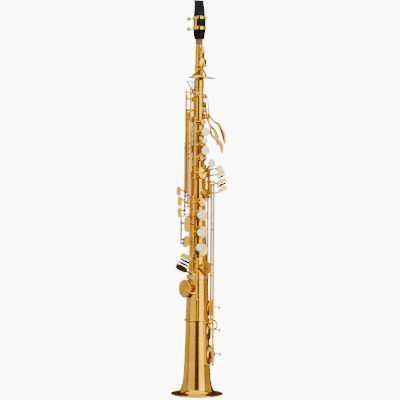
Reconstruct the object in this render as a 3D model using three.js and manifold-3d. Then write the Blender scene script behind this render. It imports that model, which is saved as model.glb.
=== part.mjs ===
// Soprano saxophone, straight, standing on its bell. Millimetres, +Z up along the tube.
// The origin is on the tube axis in the plane of the bell rim. The player's side is +Y, the
// stacks of keys face -Y. Angles round the tube are in degrees: 0 faces -Y, +90 faces +X.
import * as THREE from 'three';
import { mergeVertices } from 'three/addons/utils/BufferGeometryUtils.js';
import Module from 'manifold-3d';

const wasm = await Module();
wasm.setup();

// ---------------------------------------------------------------- driving dimensions
const GAP = 0.3;                   // clearance between neighbouring solids
const WALL = 0.8;                  // sheet brass of the tube and the bell
const TUBE_TOP = { z: 616, r: 6.5 };
const TUBE_FOOT = { z: 207, r: 16.6 };
const SOCKET = { z0: 539, z1: 553, r: 9.5 };
const CORK_LENGTH = 25;
const BELL_PROFILE = [[208, 18.2], [166, 20.1], [113, 21.1], [50, 23.4], [30, 24.6],
  [20, 26], [11, 28.6], [5, 33], [2, 40]];
const RIM = { outer: 46.3, flatIn: 42.9, flatOut: 44.8, height: 3.2 };
const CHIMNEY_RISE = 2.2;          // height of a tone hole's edge above the tube
const CHIMNEY_SIDES = 9;
const CUP_HEIGHT = 3.4;
const HINGE_R = 2.0;               // hinge tubes
const PIVOT_R = 0.9;               // steel rods of the two stacks
const POST_BALL_R = 2.6;
const POST_STEM_R = 1.3;
const ARM_R = 1.4;
const RIB_THICK = 2;

// ---------------------------------------------------------------- materials
function metal(colour, roughness) {
  return new THREE.MeshStandardMaterial({ color: colour, roughness, metalness: 1 });
}
const lacquer = () => metal(0xe6b04e, 0.22);
const paleLacquer = () => metal(0xedc878, 0.25);
const steel = () => metal(0xb9bcc2, 0.3);
const ebonite = () => new THREE.MeshStandardMaterial({ color: 0x0d0d10, roughness: 0.25 });
const pearl = () => new THREE.MeshStandardMaterial({ color: 0xe9e8e6, roughness: 0.2 });
const corkBrown = () => new THREE.MeshStandardMaterial({ color: 0x96503a, roughness: 0.8 });
const cane = () => new THREE.MeshStandardMaterial({ color: 0xd8b878, roughness: 0.6 });

// ---------------------------------------------------------------- solids
function solid(geometry) {
  geometry.deleteAttribute('normal');
  geometry.deleteAttribute('uv');
  const merged = mergeVertices(geometry, 1e-5);
  const vertProperties = new Float32Array(merged.attributes.position.array);
  const triVerts = new Uint32Array(merged.index.array);
  return new wasm.Manifold(new wasm.Mesh({ numProp: 3, vertProperties, triVerts }));
}

function join(pieces) {
  return pieces.reduce((whole, piece) => whole.add(piece));
}

function geometryOf(manifold) {
  const mesh = manifold.getMesh();
  const geometry = new THREE.BufferGeometry();
  geometry.setAttribute('position', new THREE.BufferAttribute(new Float32Array(mesh.vertProperties), 3));
  geometry.setIndex(new THREE.BufferAttribute(new Uint32Array(mesh.triVerts), 1));
  geometry.computeVertexNormals();
  return geometry;
}

// A closed profile of [radius, z] pairs turned about the Z axis.
function turned(profile, segments) {
  const points = profile.map(([r, z]) => new THREE.Vector2(r, z));
  if (THREE.ShapeUtils.area(points) < 0) {
    points.reverse();
  }
  const geometry = new THREE.LatheGeometry(points, segments);
  geometry.rotateX(Math.PI / 2);
  return solid(geometry);
}

function ring(z0, z1, inner, outer, segments) {
  return turned([[inner, z0], [outer, z0], [outer, z1], [inner, z1], [inner, z0]], segments);
}

function rod(from, to, radius, segments = 6, endRadius = radius) {
  const a = new THREE.Vector3(...from);
  const b = new THREE.Vector3(...to);
  const axis = b.clone().sub(a);
  const geometry = new THREE.CylinderGeometry(endRadius, radius, axis.length(), segments);
  geometry.applyQuaternion(new THREE.Quaternion().setFromUnitVectors(
    new THREE.Vector3(0, 1, 0), axis.clone().normalize()));
  const middle = a.add(b).multiplyScalar(0.5);
  geometry.translate(middle.x, middle.y, middle.z);
  return solid(geometry);
}

function ball(at, radius, segments = 6) {
  const geometry = new THREE.SphereGeometry(radius, segments, segments - 2);
  geometry.rotateX(Math.PI / 2);
  geometry.translate(...at);
  return solid(geometry);
}

function block(at, size, degreesAboutZ = 0) {
  const geometry = new THREE.BoxGeometry(...size);
  geometry.rotateZ(THREE.MathUtils.degToRad(degreesAboutZ));
  geometry.translate(...at);
  return solid(geometry);
}

// A bent arm of round section through the given points.
function arm(points, radius = ARM_R, steps = 4) {
  const section = new THREE.Shape();
  section.absarc(0, 0, radius, 0, 2 * Math.PI, false);
  const path = new THREE.CatmullRomCurve3(points.map((p) => new THREE.Vector3(...p)));
  return solid(new THREE.ExtrudeGeometry(section, { steps, curveSegments: 3, extrudePath: path }));
}

// ---------------------------------------------------------------- places round the tube
function outward(angle) {
  const a = THREE.MathUtils.degToRad(angle);
  return [Math.sin(a), -Math.cos(a), 0];
}

function around(angle) {
  const a = THREE.MathUtils.degToRad(angle);
  return [Math.cos(a), Math.sin(a), 0];
}

function place(angle, distance, sideways, z) {
  const u = outward(angle);
  const t = around(angle);
  return [u[0] * distance + t[0] * sideways, u[1] * distance + t[1] * sideways, z];
}

function tubeRadius(z) {
  if (z > TUBE_FOOT.z) {
    const share = (z - TUBE_FOOT.z) / (TUBE_TOP.z - TUBE_FOOT.z);
    return TUBE_FOOT.r + share * (TUBE_TOP.r - TUBE_FOOT.r);
  }
  const below = BELL_PROFILE.findIndex(([height]) => height <= z);
  const [z1, r1] = BELL_PROFILE[below - 1];
  const [z0, r0] = BELL_PROFILE[below];
  return r0 + (r1 - r0) * (z - z0) / (z1 - z0);
}

// A round flat piece whose axis points outward at the given angle, standing on `distance`.
function facing(piece, angle, distance, z) {
  const [x, y] = outward(angle);
  const matrix = new THREE.Matrix4().makeBasis(new THREE.Vector3(...around(angle)),
    new THREE.Vector3(0, 0, 1), new THREE.Vector3(x, y, 0));
  matrix.setPosition(x * distance, y * distance, z);
  return piece.transform(matrix.toArray());
}

// A leaf-shaped or oval touch plate: centre, facing angle, width, height, thickness, tilt.
function plate(at, angle, width, height, thickness = 1.8, tilt = 0) {
  const outline = new THREE.Shape();
  outline.absellipse(0, 0, width / 2, height / 2, 0, 2 * Math.PI, false, 0);
  const geometry = new THREE.ExtrudeGeometry(outline,
    { depth: thickness, bevelEnabled: false, curveSegments: 6 });
  geometry.translate(0, 0, -thickness / 2);
  geometry.rotateZ(THREE.MathUtils.degToRad(tilt));
  const matrix = new THREE.Matrix4().makeBasis(new THREE.Vector3(...around(angle)),
    new THREE.Vector3(0, 0, 1), new THREE.Vector3(...outward(angle)));
  matrix.setPosition(...at);
  geometry.applyMatrix4(matrix);
  return solid(geometry);
}

// ---------------------------------------------------------------- tone holes
// angle, height on the tube, radius of the hole, radius of the pad cup
const HOLES = {
  palm_f: { angle: 95, z: 525, hole: 3.0, cup: 4.8 },
  palm_eb: { angle: 128, z: 511, hole: 3.2, cup: 5.0 },
  palm_d: { angle: 62, z: 500, hole: 3.4, cup: 5.4 },
  high_f_sharp: { angle: -15, z: 527, hole: 2.8, cup: 4.6 },
  side_e: { angle: -128, z: 519, hole: 3.0, cup: 4.8 },
  side_c: { angle: -128, z: 484, hole: 3.6, cup: 5.6 },
  side_bb: { angle: -135, z: 432, hole: 4.4, cup: 6.6 },
  c: { angle: 32, z: 478, hole: 3.6, cup: 5.6 },
  b: { angle: 32, z: 460.5, hole: 4.6, cup: 6.8 },
  bis: { angle: 32, z: 438.5, hole: 4.4, cup: 6.4 },
  a: { angle: 32, z: 416.6, hole: 5.2, cup: 7.4 },
  g: { angle: 34, z: 389.5, hole: 8.0, cup: 10.6 },
  g_sharp: { angle: 54, z: 354, hole: 5.6, cup: 7.6 },
  f_sharp: { angle: 18, z: 337.5, hole: 5.6, cup: 7.8 },
  f: { angle: 18, z: 315, hole: 8.4, cup: 10.8 },
  e: { angle: 18, z: 285.5, hole: 9.0, cup: 11.4 },
  d: { angle: 18, z: 254.7, hole: 9.4, cup: 11.8 },
  f_sharp_trill: { angle: -122, z: 300, hole: 4.8, cup: 6.8 },
  eb: { angle: 50, z: 223, hole: 9.0, cup: 12.0 },
  low_c: { angle: -62, z: 186.7, hole: 13.0, cup: 16.4 },
  low_c_sharp: { angle: 95, z: 152, hole: 11.4, cup: 14.4 },
  low_b: { angle: 95, z: 111.8, hole: 14.4, cup: 17.6 },
  low_bb: { angle: 95, z: 70.5, hole: 15.6, cup: 19.2 },
};

function edgeOf(name) {
  return tubeRadius(HOLES[name].z) + CHIMNEY_RISE;
}

function chimney(name) {
  const { angle, z, hole } = HOLES[name];
  return facing(ring(0, edgeOf(name), 0, hole + WALL, CHIMNEY_SIDES), angle, 0, z);
}

function holeCut(name) {
  const { angle, z, hole } = HOLES[name];
  return facing(ring(0, edgeOf(name) + 2, 0, hole, CHIMNEY_SIDES), angle, 0, z);
}

// ---------------------------------------------------------------- tube
function drilled(outer, bore, names) {
  let body = join([outer, ...names.map(chimney)]);
  body = body.subtract(bore);
  for (const name of names) {
    body = body.subtract(holeCut(name));
  }
  return body;
}

function mainTube() {
  const { z: footZ, r: footR } = TUBE_FOOT;
  const top = SOCKET.z1;
  const outer = turned([[0, footZ + 0.5], [footR, footZ + 0.5], [tubeRadius(SOCKET.z0), SOCKET.z0],
    [SOCKET.r, SOCKET.z0], [SOCKET.r, SOCKET.z1], [0, SOCKET.z1]], 20);
  const step = SOCKET.z0 + 2;
  const neckSeat = tubeRadius(step) + GAP;
  const bore = turned([[0, footZ], [footR - WALL, footZ], [tubeRadius(step) - WALL, step],
    [neckSeat, step], [neckSeat, top + 1], [0, top + 1]], 20);
  const names = Object.keys(HOLES).filter((name) => HOLES[name].z > TUBE_FOOT.z);
  return drilled(outer, bore, names);
}

function bellSection() {
  const outside = BELL_PROFILE.map(([z, r]) => [r, z]);
  const inside = BELL_PROFILE.map(([z, r]) => (z > 15 ? [r - WALL, z] : [r - 0.5, z - 0.6])).reverse();
  const { outer: rimR, flatIn, flatOut, height } = RIM;
  const bead = [[flatIn + 0.2, height - 0.6], [flatOut, height], [rimR - 0.4, height - 0.8],
    [rimR, height * 0.45], [rimR - 0.6, 0.4], [flatOut, 0]];
  const outer = turned([[0, 208], ...outside, ...bead, [0, 0]], 28);
  const bore = turned([[0, -1], [flatIn, -1], [flatIn, 0.8], ...inside, [17.4, 209], [0, 209]], 28);
  const names = Object.keys(HOLES).filter((name) => HOLES[name].z < TUBE_FOOT.z);
  return drilled(outer, bore, names);
}

function jointRing() {
  const band = ring(203.5, 210.5, 18.7, 20.2, 32);
  const clearTop = ring(208.1, 211, 0, 18.6, 32);
  const lug = block([-3, 21, 207], [8, 4.5, 6]);
  return join([band, lug]).subtract(clearTop).subtract(ring(203, 211, 0, 18.65, 32));
}

// ---------------------------------------------------------------- keys
// Each key turns about a vertical hinge at [x, y]. It is drawn with its pad on the tone
// hole, and `rest` then turns it to where the spring holds it.
const HINGES = {
  upper_stack: [-6.2, -16.4],
  lower_stack: [-8.6, -19.6],
  side_e: [-22.2, -2],
  side_c: [-18.2, -8],
  high_f_sharp: [-14, -12.4],
  side_bb: [-23.5, 4.5],
  f_sharp_trill: [-29.5, -4.5],
  g_sharp: [19.6, 2],
  low_c_sharp: [17.4, 18.6],
  low_b: [23, -18.2],
  low_bb: [27.3, -21.8],
  little_finger: [-2, -24.8],
};

function hingeTube(hinge, z0, z1) {
  return rod([...hinge, z0], [...hinge, z1], HINGE_R, 8);
}

// Position of a point in the plane of a tone hole: sideways along the tube's surface, outward.
function seenFrom(angle, [x, y]) {
  const t = around(angle);
  const u = outward(angle);
  return { sideways: x * t[0] + y * t[1], distance: x * u[0] + y * u[1] };
}

function padCup(name) {
  const { angle, z, cup } = HOLES[name];
  const profile = [[0, 0], [cup, 0], [cup, CUP_HEIGHT * 0.6], [cup * 0.75, CUP_HEIGHT],
    [0, CUP_HEIGHT], [0, 0]];
  return facing(turned(profile, 10), angle, edgeOf(name) + GAP, z);
}

function cupArm(name, hinge, armZ = HOLES[name].z) {
  const { angle, z, cup } = HOLES[name];
  const from = seenFrom(angle, hinge);
  const top = edgeOf(name) + GAP + CUP_HEIGHT;
  const side = Math.sign(from.sideways);
  const shoulder = (cup + ARM_R + 0.6) * side;
  return arm([[...hinge, armZ], place(angle, Math.max(top - 1.5, from.distance), shoulder, armZ),
    place(angle, top + 1.2, cup * 0.55 * side, (armZ + z) / 2), place(angle, top, 0, z)]);
}

// Stands a turned piece on the point `at`, raised by `lift`, with its axis pointing outward.
function standing(piece, at, angle, lift = 0) {
  const { sideways, distance } = seenFrom(angle, at);
  const t = around(angle);
  return facing(piece, angle, distance + lift, at[2])
    .translate([t[0] * sideways, t[1] * sideways, 0]);
}

const PEARL_SEAT = { lip: 0.9, height: 1.6 };

function pearlSeat(at, angle, radius) {
  const outer = radius + PEARL_SEAT.lip;
  const profile = [[0, 0], [outer, 0], [outer, PEARL_SEAT.height], [0, PEARL_SEAT.height], [0, 0]];
  return standing(turned(profile, 10), at, angle);
}

function pearlDisc(at, angle, radius) {
  const profile = [[0, 0], [radius, 0], [radius, 0.8], [radius * 0.7, 1.6], [0, 1.9], [0, 0]];
  return standing(turned(profile, 10), at, angle, PEARL_SEAT.height + GAP);
}

function turnedAbout(piece, hinge, degrees) {
  const [x, y] = hinge;
  return piece.translate([-x, -y, 0]).rotate([0, 0, degrees]).translate([x, y, 0]);
}

// ---------------------------------------------------------------- the object
const saxophone = new THREE.Group();
saxophone.name = 'soprano_saxophone';

// Adds one named mesh whose own origin is at `pivot`.
function add(name, manifold, material, pivot = [0, 0, 0]) {
  const moved = manifold.translate(pivot.map((value) => -value));
  const mesh = new THREE.Mesh(geometryOf(moved), material);
  mesh.name = name;
  mesh.position.set(...pivot);
  saxophone.add(mesh);
}

function addKey(name, hinge, z, rest, pieces, pearls = {}, bored = false) {
  const pivot = [...hinge, z];
  const whole = join(pieces);
  const clear = rod([...hinge, z - 60], [...hinge, z + 60], PIVOT_R + GAP, 10);
  add(name, turnedAbout(bored ? whole.subtract(clear) : whole, hinge, rest), lacquer(), pivot);
  for (const [pearlName, disc] of Object.entries(pearls)) {
    add(pearlName, turnedAbout(disc, hinge, rest), pearl(), pivot);
  }
}

// ---- tube
add('main_tube', mainTube(), lacquer());
add('bell_section', bellSection(), lacquer());
add('body_joint_ring', jointRing(), paleLacquer());


// ---- neck, cork, mouthpiece, reed, ligature
const CORK = { z0: TUBE_TOP.z - 1, z1: TUBE_TOP.z - 1 + CORK_LENGTH, r: 6.7 };
const MOUTHPIECE = { foot: 625, tip: 695, boreR: CORK.r + GAP, boreTop: 646, chamberR: 4.6 };
const REED_SIDE = -165;
const BEAK_SIDE = REED_SIDE + 180;
const TABLE_DISTANCE = 7.4;        // the flat that the reed lies on, from the axis
const REED = { width: 9.8, stock: 2.1, tip: 0.5, foot: 638.6, length: 56 };
const NECK_AXLE = { y: -13.6, z: 577, x0: -2.6, x1: 8.6, r: 1.7 };

function neckTube() {
  const foot = SOCKET.z0 + 2.4;
  const outer = turned([[0, foot], [tubeRadius(foot), foot], [TUBE_TOP.r, CORK.z0], [5.2, CORK.z0],
    [5.2, CORK.z1 + 1], [0, CORK.z1 + 1]], 24);
  const pip = rod(place(35, 4, 0, 608), place(35, tubeRadius(608) + 2.2, 0, 608), 1.6, 10);
  const pipBore = rod(place(35, 0, 0, 608), place(35, tubeRadius(608) + 4, 0, 608), 0.8, 10);
  const bore = turned([[0, foot - 1], [tubeRadius(foot) - WALL, foot - 1], [4.5, CORK.z0 - 2],
    [4.3, CORK.z1 + 2], [0, CORK.z1 + 2]], 24);
  const { y, z, x0, x1 } = NECK_AXLE;
  const saddle = [x0 - 3, x1 + 3].map((headX) => join([
    rod([Math.sign(headX) * 2, -7, z], [headX, y + 5, z], POST_STEM_R),
    rod([headX, y + 5.6, z], [headX, y, z], POST_STEM_R), ball([headX, y, z], 2.2)]));
  return join([outer, pip, ...saddle]).subtract(bore).subtract(pipBore);
}

// A flat outline in the plane through the tube's axis at `angle`, as [distance, z] pairs,
// thickened to `width` across that plane.
function slab(outline, angle, width) {
  const shape = new THREE.Shape(outline.map(([distance, z]) => new THREE.Vector2(distance, z)));
  const geometry = new THREE.ExtrudeGeometry(shape, { depth: width, bevelEnabled: false });
  geometry.translate(0, 0, -width / 2);
  const [tx, ty] = around(angle);
  geometry.applyMatrix4(new THREE.Matrix4().makeBasis(new THREE.Vector3(...outward(angle)),
    new THREE.Vector3(0, 0, 1), new THREE.Vector3(-tx, -ty, 0)));
  return solid(geometry);
}

function mouthpieceBody() {
  const { foot, tip, boreR, boreTop, chamberR } = MOUTHPIECE;
  const outside = turned([[0, foot], [9.2, foot], [9.4, foot + 3], [10.2, foot + 6], [10.9, 641],
    [10.9, 652], [10.4, 666], [9.5, 680], [8.8, tip], [0, tip]], 24);
  const shank = turned([[0, foot - 1], [boreR, foot - 1], [boreR, boreTop], [chamberR, boreTop + 3],
    [chamberR, 672], [0, 680]], 12);
  const far = 30;
  const beak = slab([[10.8, 667], [8, 669.5], [3, 677], [-1.5, 685.5], [-6.2, tip + 0.5],
    [-6.2, tip + 5], [far, tip + 5], [far, 667]], BEAK_SIDE, far);
  const table = slab([[TABLE_DISTANCE, 637], [far, 637], [far, tip + 1], [TABLE_DISTANCE, tip + 1]],
    REED_SIDE, far);
  const window = slab([[4, 660], [far, 660], [far, 680], [4, 680]], REED_SIDE, 8.6);
  return outside.subtract(shank).subtract(beak).subtract(table).subtract(window);
}

function reedBody() {
  const { width, stock, tip, foot, length } = REED;
  const flat = TABLE_DISTANCE + GAP;
  return slab([[flat, foot], [flat + stock, foot], [flat + stock, foot + length / 2],
    [flat + tip, foot + length], [flat, foot + length]], REED_SIDE, width);
}

const LIGATURE = { low: [641, 646.5], high: [659.5, 664.5], r: 11.4, thick: 0.8, lug: 14.2 };
const SCREW = { shaftFrom: -1.6, headFrom: 12.9, headTo: 18.9, shaftR: 1, headR: 3.9 };

// A point on a ligature screw's line, `along` from the lug towards the screw's head.
function onScrew([z0, z1], along) {
  return place(REED_SIDE, LIGATURE.lug, along, (z0 + z1) / 2);
}

function ligatureBody() {
  const { low, high, r, thick, lug } = LIGATURE;
  const bands = [low, high].map(([z0, z1]) => ring(z0, z1, r, r + thick, 24));
  const bars = [-32, 118].map((angle) => block(place(angle, r + thick / 2, 0, 653),
    [4, thick, 22], angle));
  const lugs = [low, high].map(([z0, z1]) => block(place(REED_SIDE, lug - 0.2, 0, (z0 + z1) / 2),
    [3.2, 4.8, 4.6], REED_SIDE));
  const bores = [low, high].map((band) => rod(onScrew(band, -4), onScrew(band, 4),
    SCREW.shaftR + GAP, 10));
  return bores.reduce((whole, bored) => whole.subtract(bored), join([...bands, ...bars, ...lugs]));
}

function ligatureScrew(band) {
  const { shaftFrom, headFrom, headTo, shaftR, headR } = SCREW;
  const shaft = rod(onScrew(band, shaftFrom), onScrew(band, headFrom + 1), shaftR, 10);
  const head = rod(onScrew(band, headFrom), onScrew(band, headTo), headR, 14);
  return { body: join([shaft, head]), pivot: onScrew(band, 0) };
}

add('neck_tube', neckTube(), lacquer());
add('neck_cork', ring(CORK.z0 + GAP, CORK.z1, 5.2 + GAP, CORK.r, 24), corkBrown());
add('mouthpiece', mouthpieceBody(), ebonite());
add('reed', reedBody(), cane());
add('ligature', ligatureBody(), lacquer());
const LIGATURE_SCREWS = { ligature_screw_lower: LIGATURE.low, ligature_screw_upper: LIGATURE.high };
for (const [name, band] of Object.entries(LIGATURE_SCREWS)) {
  const { body, pivot } = ligatureScrew(band);
  add(name, body, paleLacquer(), pivot);
}

// ---- ribs with their posts
// A rib is a narrow strip along the tube; a post stands on it and carries a ball at the hinge.
function rib(angle, z0, z1, width = 4) {
  const lift = GAP + 0.1;
  const a = new THREE.Vector3(...place(angle, tubeRadius(z0) + lift, 0, z0));
  const b = new THREE.Vector3(...place(angle, tubeRadius(z1) + lift, 0, z1));
  const slope = Math.atan2(b.clone().setZ(0).length() - a.clone().setZ(0).length(), z1 - z0);
  const geometry = new THREE.BoxGeometry(width, RIB_THICK, z1 - z0);
  geometry.translate(0, -RIB_THICK / 2, 0);
  geometry.rotateX(slope);
  geometry.rotateZ(THREE.MathUtils.degToRad(angle));
  const middle = a.add(b).multiplyScalar(0.5);
  geometry.translate(middle.x, middle.y, middle.z);
  return solid(geometry);
}

function post(angle, hinge, z, waypoint = null) {
  const [x, y] = hinge;
  const foot = place(angle, tubeRadius(z) + 1.8, 0, z);
  const stem = waypoint
    ? arm([foot, waypoint, [x, y, z]], POST_STEM_R, 5)
    : rod(foot, [x, y, z], POST_STEM_R);
  return join([stem, ball([x, y, z], POST_BALL_R)]);
}

function bore(hinge, z0, z1) {
  return rod([...hinge, z0], [...hinge, z1], PIVOT_R + GAP, 10);
}

const UPPER_POSTS = [483.5, 446.8, 402, 379.5];
const LOWER_POSTS = [346.5, 301, 271, 243];
const STACK_RIB = -40;
const upperRib = join([rib(STACK_RIB, 376, 487),
  ...UPPER_POSTS.map((z) => post(STACK_RIB, HINGES.upper_stack, z))]);
const lowerRib = join([rib(STACK_RIB, 239, 350),
  ...LOWER_POSTS.map((z) => post(STACK_RIB, HINGES.lower_stack, z))]);
add('upper_stack_rib', upperRib.subtract(bore(HINGES.upper_stack, 370, 490)), lacquer());
add('lower_stack_rib', lowerRib.subtract(bore(HINGES.lower_stack, 235, 355)), lacquer());
add('upper_stack_rod', rod([...HINGES.upper_stack, 376], [...HINGES.upper_stack, 487], PIVOT_R, 10), steel());
add('lower_stack_rod', rod([...HINGES.lower_stack, 239.5], [...HINGES.lower_stack, 350], PIVOT_R, 10),
  steel());

const LEFT_POSTS = [['side_e', 531.6], ['side_c', 499.5], ['high_f_sharp', 535.6], ['side_bb', 441.5],
  ['side_e', 349.5], ['side_c', 330.5], ['high_f_sharp', 308.5], ['side_bb', 317], ['f_sharp_trill', 313.5],
  ['f_sharp_trill', 266]];
const leftRib = join([rib(-88, 262, 538.3), ...LEFT_POSTS.map(([name, z]) => post(-88, HINGES[name], z))]);
add('left_side_rib', leftRib, lacquer());

const rightRib = join([rib(92, 340, 404),
  post(92, HINGES.g_sharp, 347.5),
  post(92, HINGES.g_sharp, 401),
  post(92, HINGES.low_c_sharp, 391.5),
  post(92, HINGES.low_b, 374, [21, -6, 374]),
  rod([...HINGES.low_b, 374], [...HINGES.low_bb, 374], POST_STEM_R),
  ball([...HINGES.low_bb, 374], POST_BALL_R)]);
add('right_side_rib', rightRib, lacquer());

const BELL_BAND = { z0: 129, z1: 133, thick: 2.2 };
const LITTLE_FINGER_POSTS = [238, 218, 168];

// The band round the bell carries the lower ends of the long hinges.
function bellPosts() {
  const { z0, z1, thick } = BELL_BAND;
  const inner = tubeRadius(z0) + GAP;
  const band = ring(z0, z1, inner, inner + thick, 24);
  return join([band, rib(38, 52, z1), rib(-4.6, z0, 172),
    post(38, HINGES.low_b, 127.4),
    post(38, HINGES.low_bb, 55),
    post(-4.6, HINGES.little_finger, LITTLE_FINGER_POSTS[2]),
    post(137, HINGES.low_c_sharp, (z0 + z1) / 2)]);
}
add('bell_posts', bellPosts(), lacquer());

const littleFingerRib = join([rib(-4.6, 214, 241),
  ...LITTLE_FINGER_POSTS.slice(0, 2).map((z) => post(-4.6, HINGES.little_finger, z))]);
add('little_finger_rib', littleFingerRib, lacquer());

// ---- stacks
function stackPearl(name, hinge, z0, z1, pearlAt, pearlAngle, pearlR, rest) {
  const cup = HOLES[name];
  const top = edgeOf(name) + GAP + CUP_HEIGHT;
  const stemFoot = place(cup.angle, top - 0.5, 0, cup.z);
  const stem = arm([stemFoot, pearlAt], ARM_R, 2);
  addKey(`${name}_key`, hinge, cup.z, rest,
    [hingeTube(hinge, z0, z1), padCup(name), cupArm(name, hinge), stem,
      pearlSeat(pearlAt, pearlAngle, pearlR)],
    { [`${name}_key_pearl`]: pearlDisc(pearlAt, pearlAngle, pearlR) }, true);
}

const STACK_REST = -6;
stackPearl('b', HINGES.upper_stack, 450, 472.5, [11.4, -18.4, 460.4], 32, 6.8, STACK_REST);
stackPearl('bis', HINGES.upper_stack, 431.5, 443.6, [10.6, -19.2, 445.3], 32, 4.4, STACK_REST);
stackPearl('a', HINGES.upper_stack, 405.6, 430.5, [12, -19.8, 428.3], 32, 6.8, STACK_REST);
stackPearl('g', HINGES.upper_stack, 383.2, 398.4, [22.6, -20, 406], 45, 6.8, STACK_REST);
addKey('small_c_cup_key', HINGES.upper_stack, HOLES.c.z, STACK_REST,
  [hingeTube(HINGES.upper_stack, 473.5, 480.4), padCup('c'), cupArm('c', HINGES.upper_stack)], {}, true);

stackPearl('f', HINGES.lower_stack, 304.2, 327.5, [5.8, -24.8, 316], 14, 6.6, STACK_REST);
stackPearl('e', HINGES.lower_stack, 274.2, 297.8, [6, -25.4, 285.5], 14, 6.6, STACK_REST);
stackPearl('d', HINGES.lower_stack, 246.2, 267.8, [4.4, -26.2, 259.4], 10, 6.6, STACK_REST);
addKey('small_f_sharp_cup_key', HINGES.lower_stack, HOLES.f_sharp.z, STACK_REST,
  [hingeTube(HINGES.lower_stack, 328.5, 343.2), padCup('f_sharp'),
    cupArm('f_sharp', HINGES.lower_stack)], {}, true);


// ---- side keys on the left, closed by their springs
// A touch plate on an arm from the lower end of the hinge tube, a cup at the upper end.
function sideKey(name, z0, z1, touch) {
  const hinge = HINGES[name];
  const tubeEnd = touch.armZ ?? z0 + 3;
  const edge = place(touch.angle, -1, 0, 0);
  const meets = [touch.at[0] + edge[0], touch.at[1] + edge[1], touch.at[2] + touch.height * 0.3];
  const half = [(hinge[0] + meets[0]) / 2, (hinge[1] + meets[1]) / 2 - 1.5, (tubeEnd + meets[2]) / 2];
  addKey(`${name}_key`, hinge, tubeEnd, 0,
    [hingeTube(hinge, z0, z1), padCup(name), cupArm(name, hinge, Math.min(HOLES[name].z + 1, z1 - 2)),
      plate(touch.at, touch.angle, touch.width, touch.height, 2, touch.tilt ?? 0),
      arm([[...hinge, tubeEnd], half, meets])]);
}

sideKey('side_e', 352.5, 528.6, { at: [-34, -9, 357], angle: -50, width: 9, height: 16.5 });
sideKey('side_c', 333.5, 496.5, { at: [-32, -13.5, 339.5], angle: -48, width: 9, height: 17.6 });
sideKey('side_bb', 320, 438.5, { at: [-32.4, -14, 320], angle: -48, width: 8, height: 18, armZ: 322 });
sideKey('high_f_sharp', 311.5, 532.6, { at: [-19, -20, 299], angle: -30, width: 11.5, height: 26.8 });
sideKey('f_sharp_trill', 269, 310.5,
  { at: [-20.5, -22, 269.5], angle: -22, width: 12, height: 21, tilt: -14, armZ: 272 });


// ---- right-hand little-finger keys, with their rollers
// Plates and rollers lie side by side on a slope. `along` is the direction of the rollers'
// axis in the plane of the touches, `across` the way from one touch to the next.
// `lean` is how far the row of touches leans over with the slope, 0 being straight down.
function touchPlane(origin, facingAngle, slope, lean) {
  const t = around(facingAngle);
  const c = Math.cos(THREE.MathUtils.degToRad(slope));
  const s = Math.sin(THREE.MathUtils.degToRad(slope));
  return (across, along = 0, outwardBy = 0) => {
    const sideways = along * c + across * s * lean;
    const u = outward(facingAngle);
    return [origin[0] + t[0] * sideways + u[0] * outwardBy,
      origin[1] + t[1] * sideways + u[1] * outwardBy,
      origin[2] + along * s - across * c];
  };
}

const LUG_R = 1.3;

// The roller itself, and the two lugs with their links to the plate beside it.
function roller(plane, { across, half, r }) {
  return rod(plane(across, -half), plane(across, half), r, 10);
}

function rollerLugs(plane, { across, half }, plateAcross) {
  const towardsPlate = Math.sign(plateAcross - across);
  return [-1, 1].flatMap((side) => {
    const lug = side * (half + 2 * GAP + LUG_R);
    const inner = across + towardsPlate * 6.6;
    return [ball(plane(across, lug), LUG_R),
      rod(plane(across, lug), plane(inner, lug * 0.9, -0.2), 0.8)];
  });
}

const FINGER_FACING = -14;
const FINGER_SLOPE = -27;
const fingerPlane = touchPlane([-19, -26, 242.2], FINGER_FACING, FINGER_SLOPE, 1);
const C_TOUCH_ACROSS = 21.4;
const EB_ROLLER = { across: 7.4, half: 8.2, r: 2.3 };
const C_ROLLER = { across: 13, half: 8.6, r: 2.3 };
const LOW_C_REST = 11;

addKey('eb_key', HINGES.little_finger, 228, 0,
  [hingeTube(HINGES.little_finger, 221.1, 235), padCup('eb'), cupArm('eb', HINGES.little_finger, 224),
    plate(fingerPlane(0), FINGER_FACING, 22.6, 9.6, 2, FINGER_SLOPE),
    arm([[...HINGES.little_finger, 233], [-7, -27.6, 235.5], fingerPlane(0, 0, -0.8)]),
    ...rollerLugs(fingerPlane, EB_ROLLER, 0)]);
addKey('low_c_key', HINGES.little_finger, 186, LOW_C_REST,
  [hingeTube(HINGES.little_finger, 171, 214.9), padCup('low_c'), cupArm('low_c', HINGES.little_finger, 180),
    plate(fingerPlane(C_TOUCH_ACROSS), FINGER_FACING, 22.6, 10.8, 2, FINGER_SLOPE),
    arm([[...HINGES.little_finger, 213], [-10, -26.4, 213], fingerPlane(C_TOUCH_ACROSS, 0, -0.8)]),
    ...rollerLugs(fingerPlane, C_ROLLER, C_TOUCH_ACROSS)]);
add('eb_key_roller', roller(fingerPlane, EB_ROLLER), ebonite());
add('low_c_key_roller',
  turnedAbout(roller(fingerPlane, C_ROLLER), HINGES.little_finger, LOW_C_REST), ebonite());

// ---- left-hand little-finger table and the long hinges that it works
const TABLE_FACING = 22;
const TABLE_SLOPE = 26;
const tablePlane = touchPlane([39.2, -20, 389.2], TABLE_FACING, TABLE_SLOPE, 0.25);
const B_TOUCH_ACROSS = 15.6;
const BB_TOUCH_ACROSS = 31.2;
const SHORT_ROLLER = { across: 6.9, half: 5, r: 1.8 };
const LONG_ROLLER = { across: 22.9, half: 7, r: 2 };
const LOW_REST = -5;

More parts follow.
